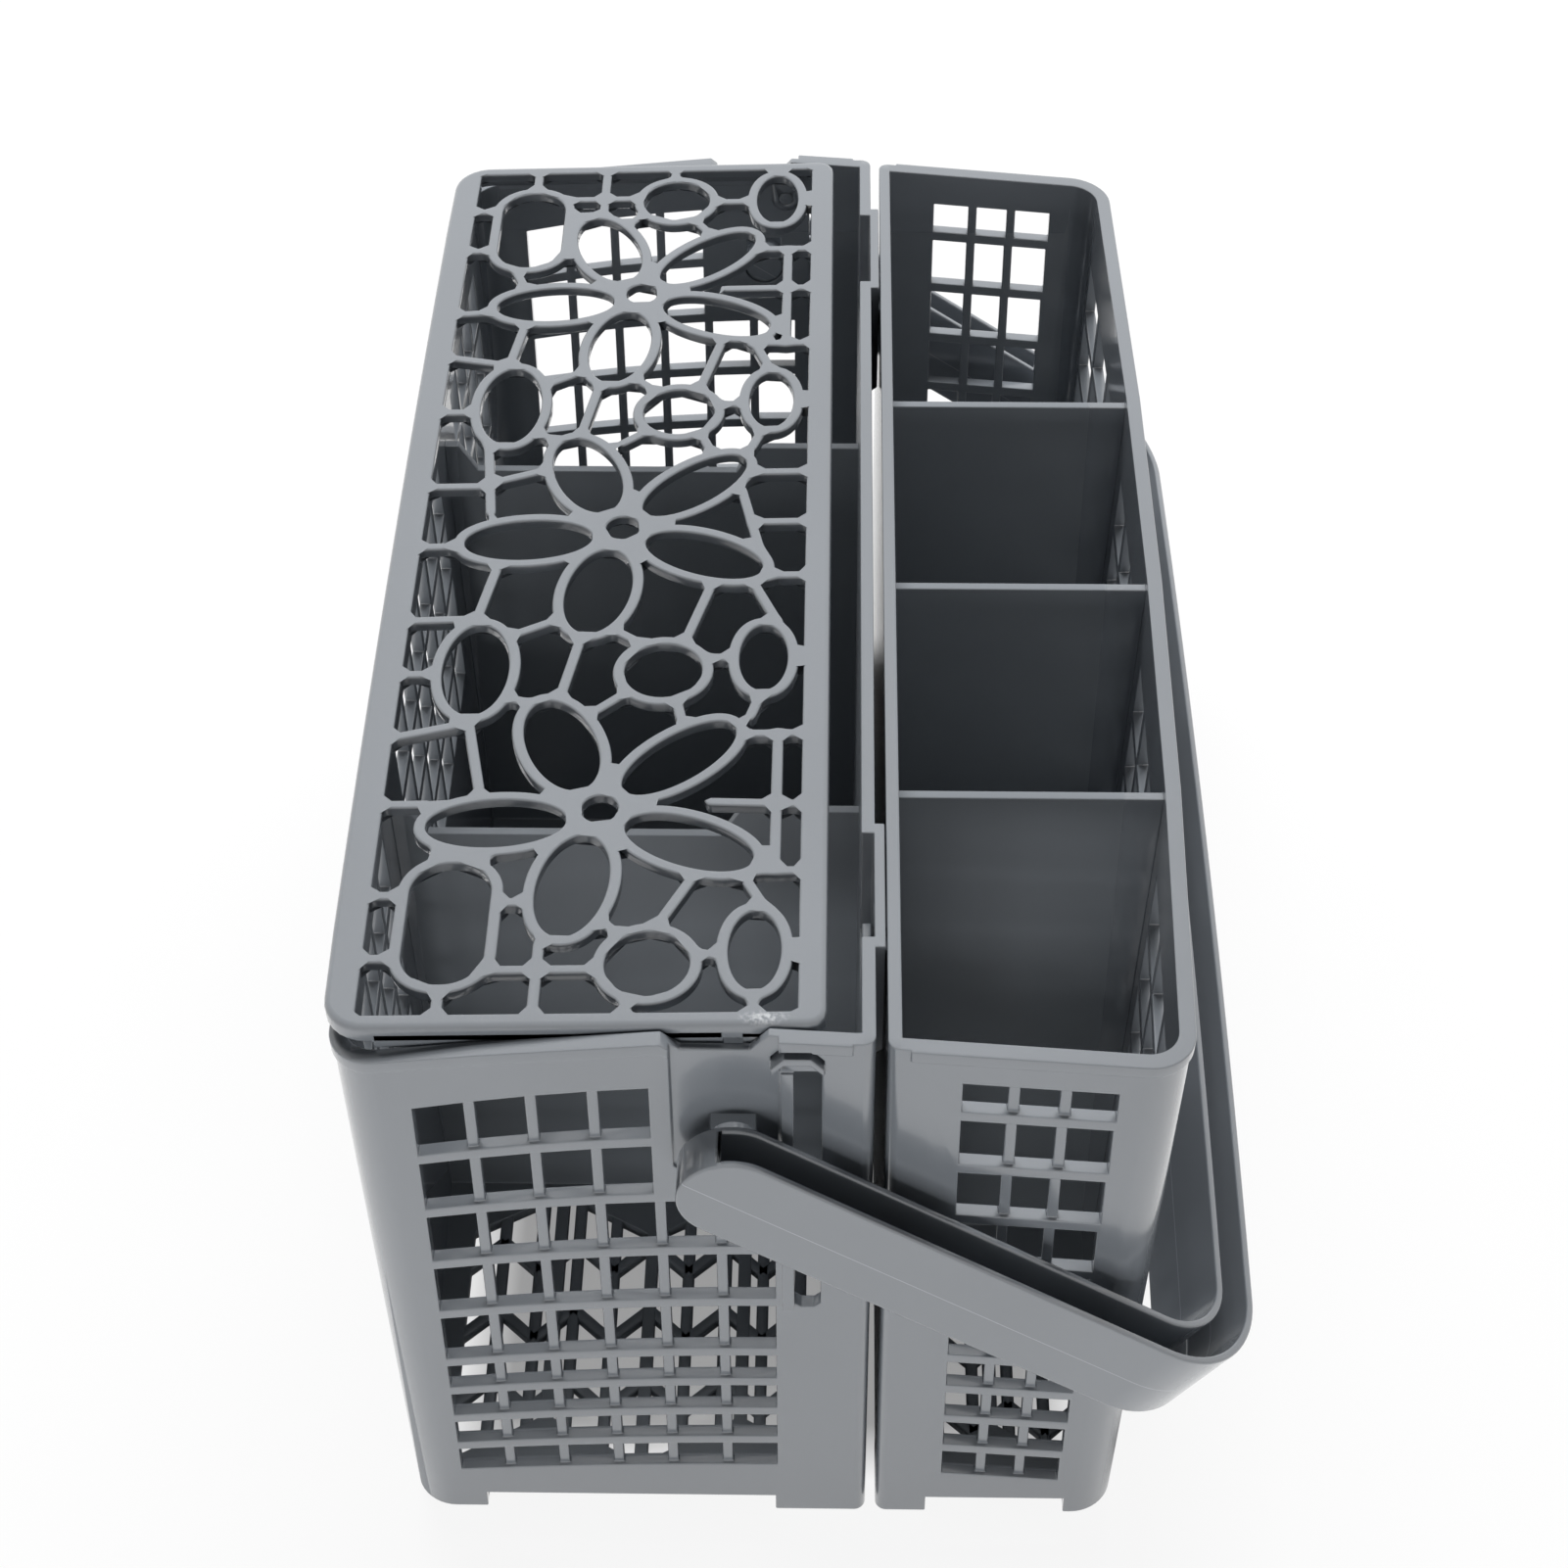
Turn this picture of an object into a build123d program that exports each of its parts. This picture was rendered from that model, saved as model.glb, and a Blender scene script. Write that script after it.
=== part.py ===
"""Dishwasher cutlery basket: main basket with flip lid, hooked-on side basket and folding carry handle.

Four plastic mouldings. While modelling, X runs across the baskets with X = 0 in the gap between them,
Y runs along them from the front end wall and Z is up from the feet. The finished pieces are then shifted
together, so that the origin is below the middle of the whole object, on the surface it stands on.
"""
import os
from math import cos, hypot, pi, radians, sin
from typing import NamedTuple

from build123d import *

# Sizes shared by both baskets, in millimetres
length = 240.0
end_draft = 0.8
foot_height = 4.2
foot_length = 14.0
floor_thickness = 2.4
floor_border = 4.0
floor_bar = 2.4
main_floor_columns = 4
side_floor_columns = 2
end_wall = 2.5
side_wall = 2.2
grid_bar_height = 2.2
grid_bar_width = 1.8
bar_setback = 0.8
lip_reach = 0.5
lip_height = 2.4
lip_end_margin = 3.5
cut_margin = 6.0
upright_share = 0.9

# Main basket
body_height = 128.5
main_right = -1.2
main_rim_width = 83.8
main_base_width = 80.8
main_bow = 1.9
main_outer_radius = 7.5
main_inner_radius = 2.0
main_foot_outer = 13.0
main_foot_inner = 16.0
rim_outer_drop = 6.7
rim_middle_drop = 2.9
rim_hump = 0.9
rim_hump_end = 3.0
partition_thickness = 1.8
partition_spacing = 100.0
partition_drop = 19.5
partition_dip = 6.0
partition_dip_left = 9.0
partition_dip_right = 26.0
partition_dip_slope = 3.4

# End grid of the main basket: bars arch gently and fall towards the outer side
main_grid_pitch = 9.65
main_grid_inset = 15.6
main_grid_margin = 8.5
main_grid_drop = 10.2
grid_base = 9.5
tall_rows = 5
tall_row_pitch = 14.2
short_row_pitch = 8.8
main_grid_fall = 6.2
main_grid_fall_base = 2.6
panel_row_count = 2
panel_column_count = 2

# Long side grids
long_rows = 4
long_row_pitch = 13.9
long_bar = 2.2
main_long_drop = 16.5
main_long_inset = 17.5
side_long_drop = 19.5
main_long_gap = 11.0
main_end_columns = 4
main_middle_columns = 6
side_long_gap = 6.5
side_long_columns = 3

# Handle panel in each end wall of the main basket
pivot_inset = 22.0
pivot_drop = 25.0
pivot_pin_radius = 3.95
pivot_clearance = 0.05
pivot_relief_width = 7.0
pivot_relief_height = 7.3
panel_recess = 0.7
panel_radius = 9.5
panel_inset = 14.8
notch_depth = 2.6
notch_inset = 24.5
notch_half_width = 5.3
notch_slope = 3.0
slot_inset = 12.5
slot_width = 4.3
slot_drop = 6.5
slot_length = 60.5
finger_width = 2.0
finger_height = 0.6
catch_width = 8.2
catch_rise = 2.4
catch_thickness = 1.5
catch_height = 1.0
catch_gap = 1.0

# Side basket
side_gap = 1.8
side_rim_step = 0.8
side_rim_drop = 4.2
side_rim_width = 46.9
side_base_width = 42.2
side_bow = 2.5
side_outer_radius = 7.5
side_inner_radius = 2.0
side_foot_outer = 8.5
side_foot_inner = 9.0
side_partition_first = 61.0
side_partition_pitch = 53.0
side_partition_count = 3
side_partition_drop = 6.1
side_grid_inset = 11.6
side_grid_columns = 3
side_grid_margin_top = 11.3
side_grid_margin_base = 10.0
side_grid_drop = 8.3
side_first_row = 8.9
side_tall_row_pitch = 12.9
side_short_row_pitch = 9.0
side_grid_fall = 2.2

# Hooks between the baskets: round-headed studs in keyhole slots, inside shallow pockets
pocket_first = 33.7
pocket_last = 31.3
pocket_length = 22.7
pocket_height = 26.0
pocket_reach = 1.55
pocket_skin = 1.7
pocket_side = 2.2
stud_drop = 15.5
stud_lift = 8.0
stud_stem = 3.2
stud_head_width = 8.6
stud_head_thickness = 1.5
stud_head_sides = 8
stud_clearance = 0.3

# Lid
lid_inset = 7.5
lid_overhang = 1.1
lid_bow = 0.9
lid_end_gap = 0.3
lid_rise = 1.6
lid_slope = 1.66
lid_border_height = 3.2
lid_lattice_height = 2.0
lid_border_left = 5.3
lid_border_right = 4.5
lid_border_end = 2.8
lid_outer_radius = 7.0
lid_inner_radius = 3.0
lid_skirt_depth = 4.6
lid_skirt_thickness = 1.6
lid_skirt_start = 8.0
lid_skirt_inset = 23.3
lid_bar = 1.7
lid_ring = 1.8
ring_sides = 10
flower_first = 49.6
flower_last = 48.0
flower_module = 71.2
flower_inset = 37.3
flower_eye_radius = 3.0
petal_half_length = 11.2
petal_half_width = 5.3
circle_radius = 6.6
oval_half_length = 11.4
oval_half_width = 5.7
small_oval_half_length = 8.2
small_oval_half_width = 4.1
frame_half_length = 12.8
frame_half_width = 6.3
frame_corner = 5.6
hinge_inset = 17.3
hinge_drop = 6.0
hinge_pin_radius = 1.4
hinge_pin_root = 0.5
hinge_clearance = 0.05
hinge_ear_radius = 3.0

# Carry handle, a U-shaped channel that is open upwards when it is folded down
handle_margin = 12.1
crossbar_share = 0.34
handle_bow = 1.6
handle_width = 8.0
handle_side_gap = 2.6
handle_depth = 17.4
handle_wall = 1.4
handle_web = 1.8
handle_corner_radius = 20.0
handle_tilt = 35.0
handle_pin_length = 5.0

# Places that follow from the sizes above: heights hang from the rim, insets start at the gap-side wall
middle_y = length / 2
floor_top = foot_height + floor_thickness
partition_top = body_height - partition_drop
main_long_top = body_height - main_long_drop
side_long_top = body_height - side_long_drop
side_left = main_right + side_gap
side_left_rim_height = body_height - side_rim_step
side_partition_top = side_left_rim_height - side_partition_drop

main_grid_top = body_height - main_grid_drop
main_grid_right = main_right - main_grid_inset
main_grid_room = min(main_rim_width, main_base_width) - main_grid_inset - main_grid_margin
main_grid_columns = int((main_grid_room + grid_bar_width) / main_grid_pitch)
main_grid_left = main_grid_right - main_grid_columns * main_grid_pitch + grid_bar_width
short_rows = int((main_grid_top - tall_rows * tall_row_pitch - grid_base) / short_row_pitch)
side_grid_top = side_left_rim_height - side_grid_drop
side_grid_left = side_left + side_grid_inset
side_grid_right_top = side_left + side_rim_width - side_grid_margin_top
side_grid_right_base = side_left + side_base_width - side_grid_margin_base
side_tall_end = side_grid_top - side_first_row - tall_rows * side_tall_row_pitch
side_short_rows = int((side_tall_end - grid_base) / side_short_row_pitch)

pivot_x = main_right - pivot_inset
pivot_z = body_height - pivot_drop
panel_right = main_right - panel_inset
notch_x = main_right - notch_inset
slot_left = main_right - slot_inset
slot_top = body_height - slot_drop
stud_z = body_height - stud_drop
pocket_places = (pocket_first, length - pocket_last)

lid_right = main_right - lid_inset
lid_width = main_rim_width - lid_inset + lid_overhang
lid_right_height = body_height + lid_rise
lid_skirt_end = main_right - lid_skirt_inset
lid_end = end_wall + lid_end_gap
hinge_x = main_right - hinge_inset
hinge_z = body_height - hinge_drop
flower_x = lid_right - flower_inset
flower_pitch = (length - flower_first - flower_last) / 2

crossbar_wall = side_base_width + crossbar_share * (side_rim_width - side_base_width) + side_bow
handle_reach = (side_left + crossbar_wall + handle_margin - pivot_x) / cos(radians(handle_tilt))


class Plan(NamedTuple):
    """Plan sizes of one basket: its long sides at rim and base, their outward bows by Y, and corner radii."""

    left_rim: float
    left_base: float
    left_bows: tuple
    left_radius: float
    right_rim: float
    right_base: float
    right_bows: tuple
    right_radius: float


def bow_at(y, bow):
    """How far a bowed long side stands out at y from the line between its corners."""
    return bow * (1 - ((y - middle_y) / middle_y) ** 2)


def bows_at(places, bow):
    """Corner points of a bowed long side, one at each cross partition, as Y and outward distance."""
    return tuple((y, bow_at(y, bow)) for y in places)


main_partitions = (middle_y - partition_spacing / 2, middle_y + partition_spacing / 2)
side_partitions = tuple(side_partition_first + i * side_partition_pitch for i in range(side_partition_count))
main_plan = Plan(
    left_rim=main_right - main_rim_width,
    left_base=main_right - main_base_width,
    left_bows=bows_at(main_partitions, main_bow),
    left_radius=main_outer_radius,
    right_rim=main_right,
    right_base=main_right,
    right_bows=(),
    right_radius=main_inner_radius,
)
side_plan = Plan(
    left_rim=side_left,
    left_base=side_left,
    left_bows=(),
    left_radius=side_inner_radius,
    right_rim=side_left + side_rim_width,
    right_base=side_left + side_base_width,
    right_bows=bows_at(side_partitions, side_bow),
    right_radius=side_outer_radius,
)


def long_side(x, bows, outward):
    """Points of a long side in plan, from before the front end wall to past the back one."""
    points = [(x, 0.0), *((x + outward * bow, y) for y, bow in bows), (x, length)]
    first_slope = (points[1][0] - points[0][0]) / (points[1][1] - points[0][1])
    last_slope = (points[-1][0] - points[-2][0]) / (points[-1][1] - points[-2][1])
    before = (x - first_slope * cut_margin, -cut_margin)
    after = (x + last_slope * cut_margin, length + cut_margin)
    return [before, *points[1:-1], after]


def leaning_prism(points, far_x, slope, bottom, top):
    """Solid between a long side that leans by slope and a distant upright face."""
    outline = [*points, (far_x, length + cut_margin), (far_x, -cut_margin)]
    face = Pos(0, 0, bottom) * Polygon(*outline, align=None)
    return extrude(face, amount=top - bottom, dir=(slope, 0, 1))


def tapered_solid(plan, bottom, top, side_inset=0.0, end_inset=0.0):
    """Solid between two heights inside a basket's walls, moved inwards by the two insets."""
    far = length
    left_slope = (plan.left_rim - plan.left_base) / body_height
    right_slope = (plan.right_rim - plan.right_base) / body_height
    left_x = plan.left_base + left_slope * bottom + side_inset
    right_x = plan.right_base + right_slope * bottom - side_inset
    solid = leaning_prism(long_side(left_x, plan.left_bows, -1), far, left_slope, bottom, top)
    solid &= leaning_prism(long_side(right_x, plan.right_bows, 1), -far, right_slope, bottom, top)
    low_draft = end_draft * (1 - bottom / body_height) + end_inset
    high_draft = end_draft * (1 - top / body_height) + end_inset
    end_view = Polygon(
        (low_draft, bottom),
        (length - low_draft, bottom),
        (length - high_draft, top),
        (high_draft, top),
        align=None,
    )
    solid &= along(end_view, -far, far)
    for end, radius in ((0, plan.left_radius), (-1, plan.right_radius)):
        if radius > side_inset:
            upright = solid.edges().filter_by(lambda edge: abs(edge.tangent_at(0).Z) > upright_share)
            corners = upright.filter_by(lambda edge: abs(edge.center().Y - middle_y) > middle_y - cut_margin)
            solid = fillet(corners.group_by(Axis.X, tol_digits=0)[end], radius - side_inset)
    return solid


def box_between(low, high):
    """Box from its lowest corner to its highest corner."""
    size = [b - a for a, b in zip(low, high)]
    return Pos(*low) * Box(*size, align=(Align.MIN, Align.MIN, Align.MIN))


def across(face, start, end):
    """Face drawn with X across and Z up, made solid from Y = start to Y = end."""
    plane = Plane((0, start, 0), x_dir=(1, 0, 0), z_dir=(0, -1, 0))
    return extrude(plane * face, amount=end - start, dir=(0, 1, 0))


def along(face, start, end):
    """Face drawn with Y across and Z up, made solid from X = start to X = end."""
    plane = Plane((start, 0, 0), x_dir=(0, 1, 0), z_dir=(1, 0, 0))
    return extrude(plane * face, amount=end - start, dir=(1, 0, 0))


def both_ends(solid):
    """Solid at the front end together with its mirror image at the back end."""
    return [solid, mirror(solid, about=Plane.XZ.offset(-middle_y))]


def rim_line_main():
    """Rim of the main basket seen from the front: it falls to the outer side and has the handle's notch."""
    outer = main_plan.left_rim - cut_margin
    notch_z = body_height - notch_depth
    notch_left = notch_x - notch_half_width
    notch_right = notch_x + notch_half_width
    arch_end = notch_left - notch_slope
    flats = Polyline(
        (outer, body_height - rim_outer_drop),
        ((outer + arch_end) / 2, body_height - rim_middle_drop),
        (arch_end, body_height),
        (notch_left, notch_z),
        (notch_right, notch_z),
        (notch_right + notch_slope, body_height + rim_hump),
        (main_right - rim_hump_end, body_height),
        (main_right + cut_margin, body_height),
    )
    return [flats]


def rim_line_side():
    """Straight sloping rim of the side basket seen from the front."""
    run = side_rim_width + cut_margin
    fall = side_rim_drop * run / side_rim_width
    start = (side_left - lip_reach, side_left_rim_height)
    return [Line(start, (side_left + run, side_left_rim_height - fall))]


def above_line(line, height):
    """Face between a rim line and a level line above or below it."""
    start = line[0] @ 0
    end = line[-1] @ 1
    closing = Polyline((end.X, end.Y), (end.X, height), (start.X, height), (start.X, start.Y))
    return make_face([*line, *closing.edges()])


def band_below(line, depth):
    """Face of the given depth that follows a rim line underneath."""
    return above_line(line, 0) - Pos(0, -depth) * above_line(line, 0)


def feet_relief(plan, left_foot, right_foot):
    """Space below the floor between the four corner feet."""
    lengthwise = box_between(
        (plan.left_base + left_foot, -cut_margin, -cut_margin),
        (plan.right_base - right_foot, length + cut_margin, foot_height),
    )
    crosswise = box_between(
        (-length, foot_length, -cut_margin),
        (length, length - foot_length, foot_height),
    )
    return [lengthwise, crosswise]


def basket_shell(plan, rim_line, lip_low_x, lip_high_x, left_foot, right_foot):
    """Tapered basket with its floor, sloping rim, outer lip and corner feet, before its openings."""
    top = body_height + cut_margin
    shell = tapered_solid(plan, 0, top)
    lip_zone = box_between((lip_low_x, -cut_margin, 0), (lip_high_x, length + cut_margin, top))
    lip_body = tapered_solid(plan, 0, top, -lip_reach, -lip_reach) & lip_zone
    lip = lip_body & across(band_below(rim_line, lip_height), -cut_margin, length + cut_margin)
    shell += lip
    shell -= tapered_solid(plan, floor_top, top, side_wall, end_wall)
    shell -= across(above_line(rim_line, top + cut_margin), -cut_margin, length + cut_margin)
    shell -= feet_relief(plan, left_foot, right_foot)
    return shell


def main_row_z(row, x):
    """Height of the upper edge of a main grid row at x: level near the panel, falling to the outer side."""
    tall_count = min(row, tall_rows)
    short_count = max(row - tall_rows, 0)
    level = main_grid_top - tall_count * tall_row_pitch - short_count * short_row_pitch
    share = row / (tall_rows + short_rows)
    fall = main_grid_fall + share * (main_grid_fall_base - main_grid_fall)
    run = (main_grid_right - x) / (main_grid_right - main_grid_left)
    return level - fall * run**2


def side_row_z(row, x):
    """Height of the upper edge of a side grid row at x: a gentle straight fall to the outer side."""
    level = side_grid_top
    if row > 0:
        tall_count = min(row - 1, tall_rows)
        short_count = max(row - 1 - tall_rows, 0)
        level -= side_first_row + tall_count * side_tall_row_pitch + short_count * side_short_row_pitch
    return level - side_grid_fall * (x - side_grid_left) / (side_grid_right_top - side_grid_left)


def grid_row(row, bar_centres, first_edge, last_edge, row_z):
    """One grid row: its whole strip, and its openings, with edges that run straight from bar to bar."""
    knots = [first_edge, *bar_centres, last_edge]
    upper = [row_z(row, x) for x in knots]
    lower = [row_z(row + 1, x) + grid_bar_height for x in knots]
    strip = Polygon(*zip(knots, upper), *reversed(list(zip(knots, lower))), align=None)
    openings = []
    for i in range(len(knots) - 1):
        low_x = knots[i] + (grid_bar_width / 2 if i > 0 else 0)
        high_x = knots[i + 1] - (grid_bar_width / 2 if i < len(knots) - 2 else 0)
        corners = [(low_x, upper), (high_x, upper), (high_x, lower), (low_x, lower)]
        points = []
        for x, edge in corners:
            share = (x - knots[i]) / (knots[i + 1] - knots[i])
            points.append((x, edge[i] + share * (edge[i + 1] - edge[i])))
        openings.append(Polygon(*points, align=None))
    return strip, openings


def end_grid_cutters(rows):
    """Cutters for the grid rows of both end walls: strips that set the upright bars back, and openings."""
    wall_face = Plane((0, end_draft, 0), x_dir=(1, 0, 0), z_dir=(0, -body_height, -end_draft))
    before_wall = wall_face.offset(cut_margin)
    inwards = -wall_face.z_dir
    cutters = []
    for strip, openings in rows:
        cutters += both_ends(extrude(before_wall * strip, amount=cut_margin + bar_setback, dir=inwards))
        for opening in openings:
            cutters += both_ends(extrude(before_wall * opening, amount=2 * cut_margin, dir=inwards))
    return cutters


def main_end_grid():
    """Rows of the main end grid; the upper rows stop short of the handle panel."""
    rows = []
    for row in range(tall_rows + short_rows):
        columns = main_grid_columns
        if row < panel_row_count:
            columns -= panel_column_count
        first = main_grid_left
        last = main_grid_left + columns * main_grid_pitch - grid_bar_width
        bars = [first + i * main_grid_pitch - grid_bar_width / 2 for i in range(1, columns)]
        rows.append(grid_row(row, bars, first, last, main_row_z))
    return rows


def side_end_grid():
    """Rows of the side end grid, which narrows downwards with the outer wall."""
    rows = []
    count = 1 + tall_rows + side_short_rows
    for row in range(count):
        share = row / (count - 1)
        last = side_grid_right_top + share * (side_grid_right_base - side_grid_right_top)
        pitch = (last - side_grid_left) / side_grid_columns
        bars = [side_grid_left + i * pitch for i in range(1, side_grid_columns)]
        rows.append(grid_row(row, bars, side_grid_left, last, side_row_z))
    return rows


def long_grid(start, end, columns, top):
    """Rectangular openings of one grid field in a long side."""
    pitch = (end - start + grid_bar_width) / columns
    faces = []
    for row in range(long_rows):
        high = top - row * long_row_pitch
        low = high - long_row_pitch + long_bar
        for column in range(columns):
            low_y = start + column * pitch
            corner = Pos(low_y, low)
            faces.append(corner * Rectangle(pitch - grid_bar_width, high - low, align=(Align.MIN, Align.MIN)))
    return faces


def floor_openings(left, right, front, back, columns):
    """Slanted floor openings of one compartment, whose ends meet in V shapes along the lengthwise bars."""
    pitch = (right - left + floor_bar) / columns
    lean = pitch / 2
    low_y = front + floor_border
    high_y = back - floor_border
    cutters = []
    for column in range(columns):
        low_x = left + column * pitch
        high_x = low_x + pitch - floor_bar
        left_y, right_y = (low_y, low_y + lean) if column % 2 == 0 else (low_y + lean, low_y)
        rise = high_y - low_y - lean
        face = Polygon(
            (low_x, left_y),
            (high_x, right_y),
            (high_x, right_y + rise),
            (low_x, left_y + rise),
            align=None,
        )
        cutters.append(extrude(face, amount=floor_top + cut_margin, dir=(0, 0, 1)))
    return cutters


def partition(plan, face, y):
    """Cross partition with the given front view, let into the long walls."""
    body = across(face, y - partition_thickness / 2, y + partition_thickness / 2)
    return body & tapered_solid(plan, foot_height, body_height, side_wall / 2, end_wall)


def main_partition_face():
    """Front view of a main partition: a wide dip with slanted sides, so that hands reach in between."""
    left = main_plan.left_rim - main_bow
    right = main_right
    dip_z = partition_top - partition_dip
    dip_left = left + partition_dip_left
    dip_right = right - partition_dip_right
    return Polygon(
        (left, foot_height),
        (right, foot_height),
        (right, partition_top),
        (dip_right + partition_dip_slope, partition_top),
        (dip_right, dip_z),
        (dip_left, dip_z),
        (dip_left - partition_dip_slope, partition_top),
        (left, partition_top),
        align=None,
    )


def handle_panel_cutters():
    """Recess, pivot hole with its relief, tall slot and catch slit in the main basket's front end wall."""
    top = body_height + cut_margin
    recess_low = pivot_z - panel_radius
    recess_cut = panel_radius / 2
    panel_left = pivot_x - panel_radius
    recess = Polygon(
        (panel_left, top),
        (panel_left, recess_low + recess_cut),
        (panel_left + recess_cut, recess_low),
        (panel_right - recess_cut, recess_low),
        (panel_right, recess_low + recess_cut),
        (panel_right, top),
        align=None,
    )
    pivot_hole = Pos(pivot_x, pivot_z) * Circle(pivot_pin_radius + pivot_clearance)
    pivot_hole += Pos(pivot_x, pivot_z) * Rectangle(
        pivot_relief_width, pivot_relief_height, align=(Align.CENTER, Align.MIN)
    )
    slot_right = slot_left + slot_width
    slot_low = slot_top - slot_length
    slot_cut = slot_width / 4
    tall_slot = Polygon(
        (slot_left, slot_top),
        (slot_left, slot_low + slot_cut),
        (slot_left + slot_cut, slot_low),
        (slot_right - slot_cut, slot_low),
        (slot_right, slot_low + slot_cut),
        (slot_right, slot_top),
        align=None,
    )
    slit = catch_face(catch_thickness, catch_thickness + catch_gap)
    inside = end_wall + end_draft + cut_margin
    recess_depth = end_draft * (1 - pivot_z / body_height) + panel_recess
    cutters = [across(recess, -cut_margin, recess_depth)]
    return cutters + [across(face, -cut_margin, inside) for face in (pivot_hole, tall_slot, slit)]


def catch_x():
    """Middle of the handle catch, over the finger and the tall slot."""
    return slot_left + (slot_width - finger_width) / 4


def catch_face(low, high):
    """Arched catch seen from the front, or the slit over it, between two distances above the catch's foot."""
    middle = catch_x()
    half = catch_width / 2
    lower = [(middle - half, slot_top + low), (middle - half / 2, slot_top + catch_rise + low)]
    upper = [(middle - half, slot_top + high), (middle - half / 2, slot_top + catch_rise + high)]
    lower += [(2 * middle - x, z) for x, z in reversed(lower)]
    upper += [(2 * middle - x, z) for x, z in reversed(upper)]
    return Polygon(*lower, *reversed(upper), align=None)


def handle_panel_relief():
    """Raised finger and catch that hold the handle upright, on the front end wall."""
    finger_place = Pos(slot_left - finger_width / 2, slot_top - slot_length / 2)
    finger = finger_place * Rectangle(finger_width, slot_length)
    catch = catch_face(0, catch_thickness)
    inside = end_wall / 2
    return [across(finger, -finger_height, inside), across(catch, -catch_height, inside)]


def hook_pocket(y):
    """Outer skin, inner hollow and keyhole of one hook pocket in the main basket's gap-side wall."""
    outer_face = main_right + pocket_reach
    inner_face = main_right - side_wall
    low_z = body_height - pocket_height
    half = pocket_length / 2
    skin_view = Polygon(
        (inner_face, low_z - pocket_reach),
        (outer_face, low_z + pocket_reach),
        (outer_face, body_height),
        (inner_face, body_height),
        align=None,
    )
    skin = across(skin_view, y - half - pocket_side, y + half + pocket_side)
    hollow = box_between(
        (inner_face - cut_margin, y - half, low_z + pocket_reach + pocket_skin),
        (outer_face - pocket_skin, y + half, body_height + cut_margin),
    )
    keyhole = Pos(y, stud_z - stud_stem / 2 - stud_clearance) * Rectangle(
        stud_stem + 2 * stud_clearance, stud_lift, align=(Align.CENTER, Align.MIN)
    )
    keyhole += Pos(y, stud_z + stud_lift) * stud_head(stud_clearance)
    return skin, [hollow, along(keyhole, inner_face, outer_face + pocket_skin)]


def stud_head(grow):
    """Eight-sided head of a stud seen along it, grown all round."""
    turn = 180 / stud_head_sides
    return RegularPolygon(stud_head_width / 2 + grow, stud_head_sides, major_radius=False, rotation=turn)


def make_main_basket():
    """Main basket, moulded in one piece."""
    lip_limit = main_right - lip_end_margin
    outer_limit = main_plan.left_rim - main_bow - cut_margin
    body = basket_shell(main_plan, rim_line_main(), outer_limit, lip_limit, main_foot_outer, main_foot_inner)
    pocket_cutters = []
    for y in pocket_places:
        skin, cutters = hook_pocket(y)
        body += skin
        pocket_cutters += cutters
    panel_cutters = []
    for cutter in handle_panel_cutters():
        panel_cutters += both_ends(cutter)
    body -= pocket_cutters + end_grid_cutters(main_end_grid()) + panel_cutters

    low, high = main_partitions
    fields = long_grid(main_long_inset, low - main_long_gap, main_end_columns, main_long_top)
    fields += long_grid(low + main_long_gap, high - main_long_gap, main_middle_columns, main_long_top)
    fields += long_grid(high + main_long_gap, length - main_long_inset, main_end_columns, main_long_top)
    body -= [along(face, -length, main_plan.left_base + main_foot_outer) for face in fields]
    walls = [end_wall, low, high, length - end_wall]
    floor_left = main_plan.left_base + side_wall + floor_border
    floor_right = main_right - side_wall - floor_border
    for front, back in zip(walls, walls[1:]):
        body -= floor_openings(floor_left, floor_right, front, back, main_floor_columns)

    for y in main_partitions:
        body += partition(main_plan, main_partition_face(), y)
    for relief in handle_panel_relief():
        body += both_ends(relief)
    pin = Pos(hinge_x, hinge_z) * Circle(hinge_pin_radius)
    body += both_ends(across(pin, end_wall - hinge_pin_root, lid_end + lid_border_end))
    return body


def make_side_basket():
    """Side basket with its two hooking studs, moulded in one piece."""
    lip_limit = side_left + lip_end_margin
    outer_limit = side_plan.right_rim + side_bow + cut_margin
    body = basket_shell(side_plan, rim_line_side(), lip_limit, outer_limit, side_foot_inner, side_foot_outer)
    body -= end_grid_cutters(side_end_grid())

    walls = [end_wall, *side_partitions, length - end_wall]
    floor_left = side_left + side_wall + floor_border
    floor_right = side_plan.right_base - side_wall - floor_border
    for front, back in zip(walls, walls[1:]):
        fields = long_grid(front + side_long_gap, back - side_long_gap, side_long_columns, side_long_top)
        body -= [along(face, side_plan.right_base - side_foot_outer, length) for face in fields]
        body -= floor_openings(floor_left, floor_right, front, back, side_floor_columns)

    view = Polygon(
        (side_left, foot_height),
        (side_left + side_rim_width + cut_margin, foot_height),
        (side_left + side_rim_width + cut_margin, side_partition_top),
        (side_left, side_partition_top),
        align=None,
    )
    for y in walls[1:-1]:
        body += partition(side_plan, view, y)

    head_face = main_right + pocket_reach - pocket_skin - stud_clearance
    for y in pocket_places:
        centre = Pos(y, stud_z)
        stem = centre * Rectangle(stud_stem, stud_stem)
        body += along(stem, head_face - stud_head_thickness / 2, side_left + side_wall / 2)
        body += along(centre * stud_head(0), head_face - stud_head_thickness, head_face)
    return body


def ring_points(x, y, half_x, half_y, turn):
    """Corner points of an oval with straight facets, half_x by half_y, turned about its centre."""
    points = []
    for i in range(ring_sides):
        angle = 2 * pi * i / ring_sides
        wide = half_x * cos(angle)
        long = half_y * sin(angle)
        points.append((x + wide * cos(turn) - long * sin(turn), y + wide * sin(turn) + long * cos(turn)))
    return points


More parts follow.
